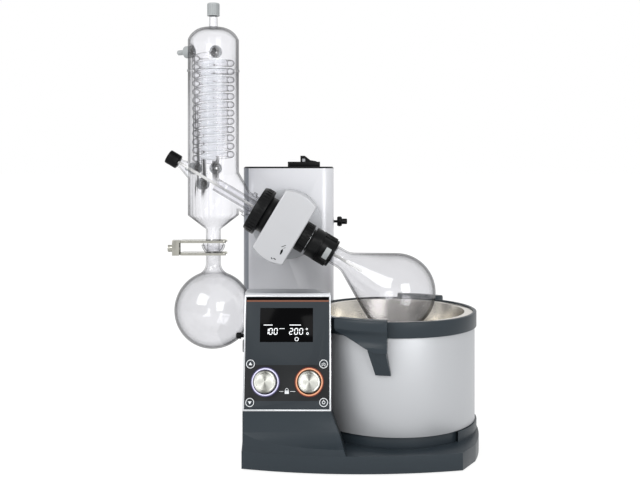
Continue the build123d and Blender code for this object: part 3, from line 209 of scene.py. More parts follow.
def linear(code):
    """An sRGB hex colour as linear red, green, blue and 1."""
    values = [int(code[i:i + 2], 16) / 255 for i in (1, 3, 5)]
    curve = [v / 12.92 if v <= 0.04045 else ((v + 0.055) / 1.055) ** 2.4 for v in values]
    return (*curve, 1.0)


def colour_prop(name, description, code):
    """A colour that the user can change, from its sRGB hex default."""
    return bpy.props.FloatVectorProperty(
        name=name, description=description, default=linear(code)[:3],
        size=3, min=0, max=1, subtype="COLOR")


# Properties

class HousingColours(bpy.types.PropertyGroup):
    """Colours of the castings, mouldings and the tower."""

    charcoal: colour_prop("Charcoal", "Moulded base, console and bath collar", "#2a3238")
    black: colour_prop("Black", "Nuts, clip and caps of black polyamide", "#08090a")
    silver: colour_prop("Silver", "Lacquered drive head", "#b7b8bb")
    drum: colour_prop("Drum", "Lacquered drum behind the head", "#b2b4b8")
    tower: colour_prop("Tower", "Anodised lifting tower", "#d2d3d7")
    # Painted shade: a darker copy of the tower's colour for the left flank, which turns away
    # from the light
    tower_painted_shade: colour_prop("Tower side", "Anodised left flank of the tower", "#7d8189")
    bath: colour_prop("Bath", "Lacquered wall of the heating bath", "#b6b8bb")
    cap_grey: colour_prop("Cap grey", "Screw caps of the condenser", "#9fa3a4")


class PanelColours(bpy.types.PropertyGroup):
    """Colours of the control panel."""

    film: colour_prop("Film", "Printed panel film", "#2a3035")
    film_band: colour_prop("Film band", "Darker band behind the knobs", "#1b1d1f")
    print_white: colour_prop("Print", "Symbols printed on the film", "#d8dbde")
    accent: colour_prop("Accent", "Thin coloured line under the top band", "#6f3c22")
    digits: colour_prop("Digits", "Lit segments of the display", "#f2f5f7")
    ring_cool: colour_prop("Left ring", "Light of the left knob's ring", "#dedcf8")
    ring_warm: colour_prop("Right ring", "Light of the right knob's ring", "#eaa780")
    glow_cool: colour_prop("Left glow", "Glow round the left knob's ring", "#4a4670")
    glow_warm: colour_prop("Right glow", "Glow round the right knob's ring", "#7c2c14")


class GlassSettings(bpy.types.PropertyGroup):
    """How clear the glass is."""

    tint: colour_prop("Tint", "Colour that one wall of the condenser lets through", "#fdfdfe")
    flask_tint: colour_prop("Flask tint", "Colour that one wall of a flask passes", "#f7f7f8")
    # Rim colours: painted shade where a wall is seen edge-on
    flask_rim_shade: colour_prop("Flask rim", "Colour that a flask seen edge-on passes", "#34373b")
    rim: colour_prop("Rim", "Colour that a wall seen edge-on lets through", "#1d2024")
    coil_rim_shade: colour_prop("Coil rim", "Colour that a coil seen edge-on lets through", "#2f3338")


class StageSettings(bpy.types.PropertyGroup):
    """Light and camera."""

    key_power: bpy.props.FloatProperty(
        name="Key light", description="Power of the large lamp at the front left",
        default=20.0, min=0, unit="POWER")
    fill_power: bpy.props.FloatProperty(
        name="Fill light", description="Power of the lamp at the front right",
        default=14.0, min=0, unit="POWER")
    camera_distance: bpy.props.FloatProperty(
        name="Camera distance", description="From the origin along -Y",
        default=1.53, min=0.5, unit="LENGTH")
    camera_height: bpy.props.FloatProperty(
        name="Camera height", description="Above the bench",
        default=0.466, min=0, unit="LENGTH")


SETTINGS = {
    "evaporator_housing": HousingColours,
    "evaporator_panel": PanelColours,
    "evaporator_glass": GlassSettings,
    "evaporator_stage": StageSettings,
}


# Selection and mesh helpers

def clear():
    """Leaves object mode and deselects everything."""
    if bpy.context.object and bpy.context.object.mode != "OBJECT":
        bpy.ops.object.mode_set(mode="OBJECT")
    bpy.ops.object.select_all(action="DESELECT")


def pick(piece):
    """Makes one object the only selected and active one."""
    clear()
    piece.hide_viewport = False
    piece.select_set(True)
    bpy.context.view_layer.objects.active = piece
    return piece


def edit_all(piece):
    """Opens a piece's mesh for editing, with all of it selected."""
    pick(piece)
    bpy.ops.object.mode_set(mode="EDIT")
    bpy.ops.mesh.select_all(action="SELECT")


def fill_outline():
    """Makes one face of the closed outline that is being edited."""
    bpy.ops.mesh.remove_doubles(threshold=1e-7)
    bpy.ops.mesh.edge_face_add()


def extrude_up(height):
    """Extrudes what is selected along Z by a height in millimetres."""
    bpy.ops.mesh.extrude_region_move(TRANSFORM_OT_translate={"value": (0, 0, height * MM)})


def face_outwards():
    """Turns every face of the mesh that is being edited outwards."""
    bpy.ops.mesh.select_all(action="SELECT")
    bpy.ops.mesh.normals_make_consistent(inside=False)


def apply_modifiers(piece):
    """Applies every modifier of a piece, in order."""
    pick(piece)
    for name in [m.name for m in piece.modifiers]:
        bpy.ops.object.modifier_apply(modifier=name)


def settle(piece, body, node_names=(), slot=None):
    """Puts a piece's place into its mesh, and lets it ride on its body."""
    pick(piece)
    bpy.ops.object.transform_apply(location=True, rotation=True, scale=True)
    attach(piece, body)
    if node_names:
        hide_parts(*node_names)
        slot = slot or SLOTS[node_names[0]]
    return piece


def coat(piece, finish):
    """Gives a piece one material."""
    piece.data.materials.clear()
    piece.data.materials.append(finish)
    return piece


def paint(node_name, finish):
    """Gives a CAD solid that stays as it is its material."""
    return coat(NODES[node_name], finish)


def dressed(node_name, finish, edge=0.0, crease=32, rounds=2, flat=True):
    """A copy of a solid with its triangles merged, its flats joined and its edges rounded.

    The edge's width is in millimetres, and the crease is the angle that counts as an edge.
    """
    source = NODES[node_name]
    pick(source)
    bpy.ops.object.duplicate()
    piece = bpy.context.object
    del piece["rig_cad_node"]
    piece.name = node_name + "_shown"
    piece.data.name = piece.name
    piece.parent = None
    edit_all(piece)
    bpy.ops.mesh.remove_doubles(threshold=2e-6)
    if flat:
        bpy.ops.mesh.dissolve_limited(angle_limit=math.radians(0.8))
    bpy.ops.object.mode_set(mode="OBJECT")
    if edge:
        soften(piece, edge, crease, rounds)
    bpy.ops.object.shade_smooth_by_angle(angle=math.radians(crease))
    coat(piece, finish)
    return settle(piece, source["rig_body"], [node_name])


def soften(piece, edge, crease=32, rounds=2):
    """Rounds the sharp edges of a piece by a width in millimetres."""
    pick(piece)
    bpy.ops.object.modifier_add(type="BEVEL")
    bevel = piece.modifiers[-1]
    bevel.width = edge * MM
    bevel.segments = rounds
    bevel.limit_method = "ANGLE"
    bevel.angle_limit = math.radians(crease)
    bevel.use_clamp_overlap = True
    bevel.harden_normals = False
    apply_modifiers(piece)


def panel_place(x, up, out):
    """The matrix that lays a flat piece on the panel: its Y runs up it and its Z out of it."""
    across = Vector((1, 0, 0))
    spot = PANEL_LOW + (across * x + PANEL_UP * up + PANEL_OUT * out) * MM
    turn = Matrix((across, PANEL_UP, PANEL_OUT)).transposed().to_4x4()
    return Matrix.Translation(spot) @ turn


def drive_place(along):
    """The matrix whose Z runs along the drive axis and whose X points at the rear."""
    side = Vector((0, 1, 0))
    up = DRIVE_DIR.cross(side)
    turn = Matrix((side, up, DRIVE_DIR)).transposed().to_4x4()
    return Matrix.Translation(PIVOT + DRIVE_DIR * along * MM) @ turn


def front_place(y):
    """The matrix that stands a flat piece upright, facing the operator, at a depth in mm."""
    turn = Matrix(((1, 0, 0), (0, 0, -1), (0, 1, 0))).to_4x4()
    return Matrix.Translation((0, y * MM, 0)) @ turn


def line_piece(name, points, closed=False):
    """A thin path of straight runs as a mesh, ready to be spun or filled."""
    clear()
    bpy.ops.curve.primitive_nurbs_path_add(location=(0, 0, 0))
    path = bpy.context.object
    path.data.splines.clear()
    spline = path.data.splines.new("POLY")
    spline.points.add(len(points) - 1)
    for point, place in zip(spline.points, points):
        point.co = (*place, 1)
    spline.use_cyclic_u = closed
    bpy.ops.object.convert(target="MESH")
    piece = bpy.context.object
    piece.name = name
    piece.data.name = name
    return piece


def plate(name, outline, thickness, place):
    """A thin printed or cut plate from its outline in millimetres."""
    piece = line_piece(name, [(x * MM, y * MM, 0) for x, y in outline], closed=True)
    edit_all(piece)
    fill_outline()
    extrude_up(thickness)
    face_outwards()
    bpy.ops.object.mode_set(mode="OBJECT")
    piece.matrix_world = place
    return piece


def washer(name, r_out, r_in, thickness, place, steps=64):
    """A thin flat ring, from an outline that is extruded inwards and then up."""
    clear()
    bpy.ops.mesh.primitive_circle_add(vertices=steps, radius=r_out * MM)
    piece = bpy.context.object
    piece.name = name
    edit_all(piece)
    bpy.ops.mesh.extrude_edges_move()
    share = r_in / r_out
    bpy.ops.transform.resize(value=(share, share, 1), center_override=(0, 0, 0))
    bpy.ops.mesh.select_all(action="SELECT")
    extrude_up(thickness)
    face_outwards()
    bpy.ops.object.mode_set(mode="OBJECT")
    piece.matrix_world = place
    return piece


def run(x0, y0, x1, y1, width):
    """Both ends of a straight run, and half its width along it and across it."""
    along = Vector((x1 - x0, y1 - y0)).normalized() * width / 2
    return Vector((x0, y0)), Vector((x1, y1)), along, Vector((-along.y, along.x))


def stroke(x0, y0, x1, y1, width):
    """Outline of a straight printed stroke with square ends."""
    start, end, _, side = run(x0, y0, x1, y1, width)
    return [tuple(v) for v in (start - side, end - side, end + side, start + side)]


def segment(x0, y0, x1, y1, width):
    """Outline of one lit segment of a digit, pointed at both ends."""
    start, end, along, side = run(x0, y0, x1, y1, width)
    # Drawn in at both ends, so that neighbours don't touch
    start += along * 0.4
    end -= along * 0.4
    corners = (start, start + along - side, end - along - side, end, end - along + side,
               start + along + side)
    return [tuple(v) for v in corners]


def digit(value, x):
    """Outlines of the lit segments of one seven-segment digit."""
    width, height, half = DIGIT_WIDTH, DIGIT_HEIGHT, DIGIT_HEIGHT / 2
    ends = {
        "a": (0, height, width, height), "b": (width, height, width, half),
        "c": (width, half, width, 0), "d": (0, 0, width, 0), "e": (0, half, 0, 0),
        "f": (0, height, 0, half), "g": (0, half, width, half)}
    outlines = []
    for name in SEGMENTS[value]:
        x0, y0, x1, y1 = ends[name]
        outlines.append(segment(
            x + x0 + DIGIT_SLANT * y0, DIGIT_UP + y0,
            x + x1 + DIGIT_SLANT * y1, DIGIT_UP + y1, DIGIT_STROKE))
    return outlines


def join(name, pieces):
    """One piece made of several."""
    clear()
    for piece in pieces:
        piece.select_set(True)
    bpy.context.view_layer.objects.active = pieces[0]
    if len(pieces) > 1:
        bpy.ops.object.join()
    pieces[0].name = name
    pieces[0].data.name = name
    return pieces[0]


# Materials

def add(tree, kind, values=None, links=None, **settings):
    """Adds one node with its settings, socket values and incoming links."""
    made = tree.nodes.new(kind)
    for name, value in settings.items():
        setattr(made, name, value)
    for name, value in (values or {}).items():
        made.inputs[name].default_value = value
    for name, source in (links or {}).items():
        tree.links.new(source, made.inputs[name])
    return made


def new_material(name):
    """An empty node material and its tree with an output node."""
    material = bpy.data.materials.new(name)
    material.use_nodes = True
    material.node_tree.nodes.clear()
    output = add(material.node_tree, "ShaderNodeOutputMaterial")
    return material, material.node_tree, output


def shade(colour, factor):
    """A colour made lighter or darker by a factor, as red, green, blue and 1."""
    return (*[min(1, c * factor) for c in colour[:3]], 1)


def grained(name, colour, rough=0.5, grain=1.2, relief=0.03, drift=0.06, metallic=0.0,
            rough_drift=0.06, ior=1.5):
    """A moulded or lacquered surface: a fine grain, and clouds about 55 mm wide.

    The grain's spacing and its relief are in millimetres.
    """
    material, tree, output = new_material(name)
    where = add(tree, "ShaderNodeTexCoord").outputs["Object"]
    cloud = add(tree, "ShaderNodeTexNoise", {"Scale": PER_METRE / 55, "Detail": 3.0},
                {"Vector": where})
    base = add(tree, "ShaderNodeMix", {
        MIX_A: shade(colour, 1 - drift), MIX_B: shade(colour, 1 + drift)},
        {MIX_FACTOR: cloud.outputs["Fac"]}, data_type="RGBA")
    speck = add(tree, "ShaderNodeTexNoise", {"Scale": PER_METRE / grain, "Detail": 2.0},
                {"Vector": where})
    gloss = add(tree, "ShaderNodeMapRange", {
        "To Min": max(0.02, rough - rough_drift), "To Max": rough + rough_drift},
        {"Value": cloud.outputs["Fac"]})
    bump = add(tree, "ShaderNodeBump", {"Strength": 0.5, "Distance": relief * MM},
               {"Height": speck.outputs["Fac"]})
    surface = add(tree, "ShaderNodeBsdfPrincipled", {"Metallic": metallic, "IOR": ior}, {
        "Base Color": base.outputs[MIX_OUT], "Roughness": gloss.outputs["Result"],
        "Normal": bump.outputs["Normal"]})
    tree.links.new(surface.outputs["BSDF"], output.inputs["Surface"])
    return material


def brushed(name, colour, axis, spacing=0.35, rough=0.3, relief=0.01, drift=0.08):
    """Metal with brush lines that lie square to an axis, a spacing in millimetres apart."""
    material, tree, output = new_material(name)
    where = add(tree, "ShaderNodeTexCoord").outputs["Object"]
    stretch = [0.02, 0.02, 0.02]
    stretch["XYZ".index(axis)] = 1.0
    squeeze = add(tree, "ShaderNodeVectorMath", {1: stretch}, {0: where}, operation="MULTIPLY")
    lines = add(tree, "ShaderNodeTexNoise", {"Scale": PER_METRE / spacing, "Detail": 3.0},
                {"Vector": squeeze.outputs["Vector"]})
    base = add(tree, "ShaderNodeMix", {
        MIX_A: shade(colour, 1 - drift), MIX_B: shade(colour, 1 + drift)},
        {MIX_FACTOR: lines.outputs["Fac"]}, data_type="RGBA")
    gloss = add(tree, "ShaderNodeMapRange", {"To Min": rough - 0.06, "To Max": rough + 0.08},
                {"Value": lines.outputs["Fac"]})
    bump = add(tree, "ShaderNodeBump", {"Strength": 0.4, "Distance": relief * MM},
               {"Height": lines.outputs["Fac"]})
    surface = add(tree, "ShaderNodeBsdfPrincipled", {"Metallic": 1.0}, {
        "Base Color": base.outputs[MIX_OUT], "Roughness": gloss.outputs["Result"],
        "Normal": bump.outputs["Normal"]})
    tree.links.new(surface.outputs["BSDF"], output.inputs["Surface"])
    return material


def clear_glass(name, tint, rim, shine, blur=0.04):
    """Blown borosilicate: each wall passes nearly all light, and painted shade darkens it where
    seen edge-on.
    """
    material, tree, output = new_material(name)
    facing = add(tree, "ShaderNodeLayerWeight", {"Blend": 0.5})
    ramp = add(tree, "ShaderNodeValToRGB", links={"Fac": facing.outputs["Facing"]})
    stops = ramp.color_ramp.elements
    stops[0].position = 0.0
    stops[0].color = (*tint[:3], 1)
    stops[1].position = 1.0
    stops[1].color = (*rim[:3], 1)
    for place, dark in RIM_SHADE_FADE:
        stop = stops.new(place)
        stop.color = (*[(1 - dark) * a + dark * b for a, b in zip(tint[:3], rim[:3])], 1)
    through = add(tree, "ShaderNodeBsdfTransparent", links={"Color": ramp.outputs["Color"]})
    mirror = add(tree, "ShaderNodeBsdfGlossy", {"Roughness": blur, "Color": (1, 1, 1, 1)})
    # Reflection rises steeply towards the edge, as on a dielectric
    steep = add(tree, "ShaderNodeMath", {1: 4.0}, {0: facing.outputs["Facing"]},
                operation="POWER")
    share = add(tree, "ShaderNodeMapRange", {"To Min": 0.05 * shine, "To Max": 0.3 * shine},
                {"Value": steep.outputs["Value"]})
    mixed = add(tree, "ShaderNodeMixShader", links={
        "Fac": share.outputs["Result"], 1: through.outputs["BSDF"], 2: mirror.outputs["BSDF"]})
    tree.links.new(mixed.outputs["Shader"], output.inputs["Surface"])
    return material


def band_across(material, colour, low, high):
    """Prints a darker band over a film between two heights up the panel, in millimetres."""
    tree = material.node_tree
    surface = next(n for n in tree.nodes if n.type == "BSDF_PRINCIPLED")
    plain = surface.inputs["Base Color"].links[0].from_socket
    where = next(n for n in tree.nodes if n.type == "TEX_COORD").outputs["Object"]
    arm = add(tree, "ShaderNodeVectorMath", {1: PANEL_LOW}, {0: where}, operation="SUBTRACT")
    height = add(tree, "ShaderNodeVectorMath", {1: PANEL_UP}, {0: arm.outputs["Vector"]},
                 operation="DOT_PRODUCT")
    above = add(tree, "ShaderNodeMath", {1: low * MM}, {0: height.outputs["Value"]},
                operation="GREATER_THAN")
    below = add(tree, "ShaderNodeMath", {1: high * MM}, {0: height.outputs["Value"]},
                operation="LESS_THAN")
    inside = add(tree, "ShaderNodeMath", operation="MULTIPLY",
                 links={0: above.outputs["Value"], 1: below.outputs["Value"]})
    printed = add(tree, "ShaderNodeMix", {MIX_B: (*colour[:3], 1)}, {
        MIX_FACTOR: inside.outputs["Value"], MIX_A: plain}, data_type="RGBA")
    tree.links.new(printed.outputs[MIX_OUT], surface.inputs["Base Color"])


def lit(name, colour, strength, body=0.6):
    """A lit plastic: its own glow over a faint gloss."""
    material, tree, output = new_material(name)
    where = add(tree, "ShaderNodeTexCoord").outputs["Object"]
    cloud = add(tree, "ShaderNodeTexNoise", {"Scale": PER_METRE / 8, "Detail": 1.0},
                {"Vector": where})
    glow = add(tree, "ShaderNodeMapRange", {"To Min": strength * 0.9, "To Max": strength * 1.1},
               {"Value": cloud.outputs["Fac"]})
    surface = add(tree, "ShaderNodeBsdfPrincipled", {
        "Base Color": shade(colour, body), "Roughness": 0.3,
        "Emission Color": (*colour[:3], 1)}, {"Emission Strength": glow.outputs["Result"]})
    tree.links.new(surface.outputs["BSDF"], output.inputs["Surface"])
    return material


def spun_knob(name, x):
    """Turned and brushed aluminium: rings about the knob's middle, and a highlight in a fan
    painted into its colour.
    """
    material, tree, output = new_material("spun_aluminium_" + name)
    middle = PANEL_LOW + Vector((x, 0, 0)) * MM + PANEL_UP * KNOB_UP * MM
    where = add(tree, "ShaderNodeTexCoord").outputs["Object"]
    arm = add(tree, "ShaderNodeVectorMath", {1: middle}, {0: where}, operation="SUBTRACT")
    round_it = add(tree, "ShaderNodeVectorMath", {1: PANEL_OUT}, {0: arm.outputs["Vector"]},
                   operation="CROSS_PRODUCT")
    radius = add(tree, "ShaderNodeVectorMath", operation="LENGTH",
                 links={0: round_it.outputs["Vector"]})
    # Turning marks half a millimetre apart
    lines = add(tree, "ShaderNodeTexNoise", {"Scale": PER_METRE / 0.5, "Detail": 2.0},
                {"W": radius.outputs["Value"]}, noise_dimensions="1D")
    # A painted highlight and shade in a fan: pale at the sides, dark above and below, where the
    # turning marks spread the light
    across = add(tree, "ShaderNodeSeparateXYZ", links={"Vector": arm.outputs["Vector"]})
    side = add(tree, "ShaderNodeMath", operation="DIVIDE", links={
        0: across.outputs["X"], 1: radius.outputs["Value"]})
    size = add(tree, "ShaderNodeMath", operation="ABSOLUTE", links={0: side.outputs["Value"]})
    painted_fan = add(tree, "ShaderNodeMapRange", {"From Min": 0.1, "From Max": 0.85, "To Max": 0.8},
              {"Value": size.outputs["Value"]}, interpolation_type="SMOOTHSTEP")
    mark = add(tree, "ShaderNodeMath", {1: 0.35}, {0: lines.outputs["Fac"]},
               operation="MULTIPLY")
    both = add(tree, "ShaderNodeMath", operation="ADD", use_clamp=True, links={
        0: painted_fan.outputs["Result"], 1: mark.outputs["Value"]})
    # Dark and pale copies of the aluminium, mixed by the painted fan and the turning marks
    base = add(tree, "ShaderNodeMix", {MIX_A: linear("#4a4a46"), MIX_B: linear("#d9dad3")},
               {MIX_FACTOR: both.outputs["Value"]}, data_type="RGBA")
    turn = add(tree, "ShaderNodeVectorMath", operation="NORMALIZE",
               links={0: round_it.outputs["Vector"]})
    surface = add(tree, "ShaderNodeBsdfPrincipled", {
        "Metallic": 1.0, "Roughness": 0.3, "Anisotropic": 0.85}, {
        "Base Color": base.outputs[MIX_OUT], "Tangent": turn.outputs["Vector"]})
    tree.links.new(surface.outputs["BSDF"], output.inputs["Surface"])
    return material


FINISH = {}


def housing_finishes(colours):
    """Mouldings, castings and the tower."""
    # Polyurethane moulding with a spark-eroded grain: a dark matt grey that stays even
    FINISH["charcoal"] = grained(
        "moulded_polyurethane", colours.charcoal, rough=0.36, grain=1.0, relief=0.04, ior=1.33)
    # Glass-filled polyamide: near black, with a soft sheen on every rib
    FINISH["black"] = grained(
        "moulded_polyamide", colours.black, rough=0.33, grain=0.8, relief=0.03, ior=1.24)
    # Lacquer on aluminium castings: satin, pale, with a barely visible orange peel
    FINISH["silver"] = grained(
        "satin_silver_lacquer", colours.silver, rough=0.38, grain=2.2, relief=0.015,
        drift=0.02, metallic=0.25)
    FINISH["drum"] = grained(
        "satin_grey_lacquer", colours.drum, rough=0.4, grain=2.2, relief=0.015,
        drift=0.02, metallic=0.25)
    # Anodised extrusion: an even satin, and a darker copy of it as painted shade on the flank
    # that turns away from the light
    for key, name, colour in (("tower", "anodised_aluminium", colours.tower),
                              ("tower_painted_shade", "anodised_painted_shade", colours.tower_painted_shade)):
        FINISH[key] = grained(
            name, colour, rough=0.32, grain=1.4, relief=0.01, drift=0.02, metallic=0.15)
    # Metallic lacquer on the bath's wall: a broad soft highlight round the curve
    FINISH["bath"] = grained(
        "bath_lacquer", colours.bath, rough=0.45, grain=1.6, relief=0.012,
        drift=0.02, metallic=0.45)
    # Moulded polypropylene: a dull pale grey
    FINISH["cap_grey"] = grained(
        "moulded_polypropylene", colours.cap_grey, rough=0.45, grain=0.9, relief=0.02)


def inner_finishes():
    """Metals, and what stays inside or underneath."""
    # Fluoropolymer: waxy white
    FINISH["white"] = grained(
        "machined_fluoropolymer", linear("#e4e4e0"), rough=0.5, grain=1.0, relief=0.01)
    # Rubber: black and quite without shine
    FINISH["rubber"] = grained(
        "moulded_rubber", linear("#1a1a1a"), rough=0.8, grain=0.7, relief=0.04)
    # Zinc-coated sheet: grey metal with the spangle of its crystals
    FINISH["zinc"] = grained(
        "zinc_coated_sheet", linear("#9a9ea1"), rough=0.35, grain=9.0, relief=0.004,
        drift=0.12, metallic=1.0)
    # Green lacquer over glass fibre
    FINISH["board"] = grained(
        "circuit_board", linear("#1f4a2c"), rough=0.35, grain=2.0, relief=0.02, drift=0.1)
    # Ground steel: clean, with fine marks
    FINISH["steel"] = brushed("ground_steel", linear("#b9bbbd"), "X", spacing=0.4, rough=0.25)
    # Pressed and polished fork plates: darker where they turn away from the light
    FINISH["fork_steel"] = brushed(
        "fork_steel", linear("#a6a59d"), "X", spacing=1.2, rough=0.2, drift=0.25)
    # Turned brass: warm, with marks round its axis
    FINISH["brass"] = brushed("turned_brass", linear("#b3924e"), "Y", spacing=0.4)
    # Deep-drawn stainless steel, polished round its axis
    FINISH["stainless"] = brushed(
        "drawn_stainless", linear("#c9c5bd"), "Z", spacing=0.9, rough=0.22, relief=0.006,
        drift=0.06)
    # Satin frame round the console: bright along its edges
    FINISH["trim"] = brushed("satin_trim", linear("#c6c8cb"), "X", spacing=0.4, rough=0.32)


def panel_finishes(colours):
    """Film, window, prints and lights of the control panel."""
    # Polyester film, printed from behind: dark and even, with a band behind the knobs
    FINISH["film"] = grained(
        "printed_film", colours.film, grain=0.5, relief=0.006, drift=0.02, ior=1.3)
    band_across(FINISH["film"], colours.film_band, *KNOB_BAND)
    # Smoked window: almost black, with a clear but weak reflection
    FINISH["window"] = grained(
        "display_window", linear("#030304"), rough=0.12, grain=6.0, relief=0.001,
        drift=0.02, rough_drift=0.02, ior=1.12)
    # Screen prints: flat colour
    FINISH["print"] = grained(
        "screen_print", colours.print_white, grain=0.4, relief=0.002, drift=0.02)
    FINISH["accent"] = grained(
        "accent_print", colours.accent, rough=0.45, grain=0.4, relief=0.002, drift=0.02)
    # Light through plastic: digits, rings, and the rings' weaker glow on the film
    FINISH["digits"] = lit("lit_segments", colours.digits, 0.9)
    FINISH["ring_cool"] = lit("cool_light", colours.ring_cool, 0.55)
    FINISH["ring_warm"] = lit("warm_light", colours.ring_warm, 0.55)
    FINISH["glow_cool"] = lit("cool_glow", colours.glow_cool, 0.25)
    FINISH["glow_warm"] = lit("warm_glow", colours.glow_warm, 0.35)


def glass_finishes(glass):
    """Glass of the condenser, the flasks and the coils."""
    # Blown glass: clear in the middle, with painted shade where a wall is seen edge-on
    FINISH["glass"] = clear_glass("borosilicate_glass", glass.tint, glass.rim, shine=0.6)
    FINISH["flask"] = clear_glass(
        "flask_glass", glass.flask_tint, glass.flask_rim_shade, shine=0.9, blur=0.1)
    FINISH["coil"] = clear_glass("coil_glass", glass.tint, glass.coil_rim_shade, shine=0.5)
    # Inner coil: many bright walls behind each other, drawn as one pale band with a painted glow
    FINISH["inner_coil"] = lit("inner_coil_glass", linear("#eceef0"), 0.3, body=0.8)
    # Fused seam round the jacket: a smooth grey bead
    FINISH["weld"] = grained("fused_seam", linear("#4c5054"), rough=0.2, grain=2.0, relief=0.002)


class EVAPORATOR_OT_finishes(bpy.types.Operator):
    """Make every material of the evaporator"""

    bl_idname = "evaporator.finishes"
    bl_label = "Finishes"

    def execute(self, context):
        housing_finishes(context.scene.evaporator_housing)
        inner_finishes()
        panel_finishes(context.scene.evaporator_panel)
        glass_finishes(context.scene.evaporator_glass)
        return {"FINISHED"}


# Base, tower and console

class EVAPORATOR_OT_base(bpy.types.Operator):
    """Base platform, its plate, feet and inlet"""

    bl_idname = "evaporator.base"
    bl_label = "Base"

    def execute(self, context):
        dressed("base_platform", FINISH["charcoal"], edge=1.2, crease=30, rounds=3)
        dressed("mains_inlet", FINISH["black"], edge=0.5)
        dressed("rubber_feet", FINISH["rubber"])
        paint("base_plate", FINISH["zinc"])
        paint("circuit_boards", FINISH["board"])
        return {"FINISHED"}


class EVAPORATOR_OT_tower(bpy.types.Operator):
    """Lifting tower with its column, lid, hose clip and lock knob"""

    bl_idname = "evaporator.tower"
    bl_label = "Tower"

    def execute(self, context):
        tower = dressed("tower_sleeve", FINISH["tower"], edge=0.4, crease=30)
        tower.data.materials.append(FINISH["tower_painted_shade"])
        # Faces that turn to the left get the tower's painted shade
        for face in tower.data.polygons:
            face.material_index = int(face.normal.x < PAINTED_SHADE_TURN)
        dressed("tower_cap", FINISH["black"], edge=0.3)
        dressed("lift_column", FINISH["steel"], edge=0.6)
        dressed("hose_clip_base", FINISH["black"], edge=0.4)
        dressed("hose_clip_latch", FINISH["black"], edge=0.5)
        left, right, up, width = FACET
        facet = plate("latch_facet", stroke(left, up, right, up, width), FACET_H,
                      front_place(FACET_Y))
        settle(coat(facet, FINISH["drum"]), "hose_latch", slot="silver_paint")
        dressed("tilt_lock_knob", FINISH["black"], edge=0.4)
        dressed("tilt_bearing", FINISH["brass"], edge=0.2)
        paint("lift_motor", FINISH["black"])
        paint("lift_screw", FINISH["steel"])
        paint("lift_nut", FINISH["white"])
        paint("glide_pads", FINISH["white"])
        return {"FINISHED"}


def band(limits, finish, name):
    """A printed band across the panel between two heights."""
    low, high = limits
    middle = (low + high) / 2
    piece = plate(name, stroke(FILM_LEFT, middle, FILM_RIGHT, middle, high - low), PRINT_H,
                  panel_place(0, 0, BAND_OUT))
    settle(coat(piece, finish), "base", slot="panel_film")


def lock_mark():
    """The small padlock between the knobs, with a line to each side."""
    place = panel_place(0, 0, MARK_OUT)
    parts = [plate("link", stroke(x0, LOCK_UP, x1, LOCK_UP, 0.7), PRINT_H, place)
             for x0, x1 in LOCK_LINES]
    parts.append(washer("shackle", 2.6, 1.8, PRINT_H, panel_place(-51.2, 31.6, MARK_OUT), 24))
    parts.append(plate("body", stroke(-54.4, 28.2, -48.0, 28.2, 5.2), PRINT_H, place))
    settle(coat(join("panel_lock_mark", parts), FINISH["print"]), "base", slot="light_ring")


def show_digits():
    """Lit numbers, bars and small rings in the display."""
    outlines = []
    for number, xs in NUMBERS.items():
        for value, x in zip(number, xs):
            outlines += digit(value, x)
    for left, right, up, width in DISPLAY_BARS:
        outlines.append(stroke(left, up, right, up, width))
    place = panel_place(0, 0, DISPLAY_OUT)
    parts = [plate("lit", outline, PRINT_H, place) for outline in outlines]
    for name, (x, up, r_out, r_in, steps) in DISPLAY_RINGS.items():
        middle = Matrix.Translation(Vector((x, up, 0)) * MM)
        parts.append(washer(name, r_out, r_in, PRINT_H, place @ middle, steps))
    settle(coat(join("display_digits", parts), FINISH["digits"]), "base", slot="light_ring")


class EVAPORATOR_OT_console(bpy.types.Operator):
    """Console housing, its silver frame and side ports"""

    bl_idname = "evaporator.console"
    bl_label = "Console"

    def execute(self, context):
        dressed("console_housing", FINISH["charcoal"], edge=0.8, crease=30, rounds=3)
        dressed("console_trim", FINISH["trim"], edge=0.35)
        dressed("side_ports", FINISH["black"], edge=0.4)
        dressed("panel_face", FINISH["film"], edge=0.2)
        dressed("display_window", FINISH["window"], edge=0.15)
        band(TOP_BAND, FINISH["window"], "panel_top_band")
        band(ACCENT_LINE, FINISH["accent"], "panel_accent_line")
        lock_mark()
        show_digits()
        return {"FINISHED"}


def key_sign(name):
    """Outlines of the sign printed on a key, about the key's middle."""
    if name == "key_lift_up":
        return [[(-2.9, -1.8), (2.9, -1.8), (0, 3.0)]]
    if name == "key_lift_down":
        return [[(-2.9, 1.8), (0, -3.0), (2.9, 1.8)]]
    if name == "key_power":
        return [stroke(0, 2.2, 0, 4.0, 0.9)]
    waves = []
    for y in (-1.7, 1.1):
        top = [(x / 2, y + 0.9 * math.cos(x * 0.55)) for x in range(-7, 8)]
        low = [(px, py - 1.0) for px, py in reversed(top)]
        waves.append(low + top)
    return waves


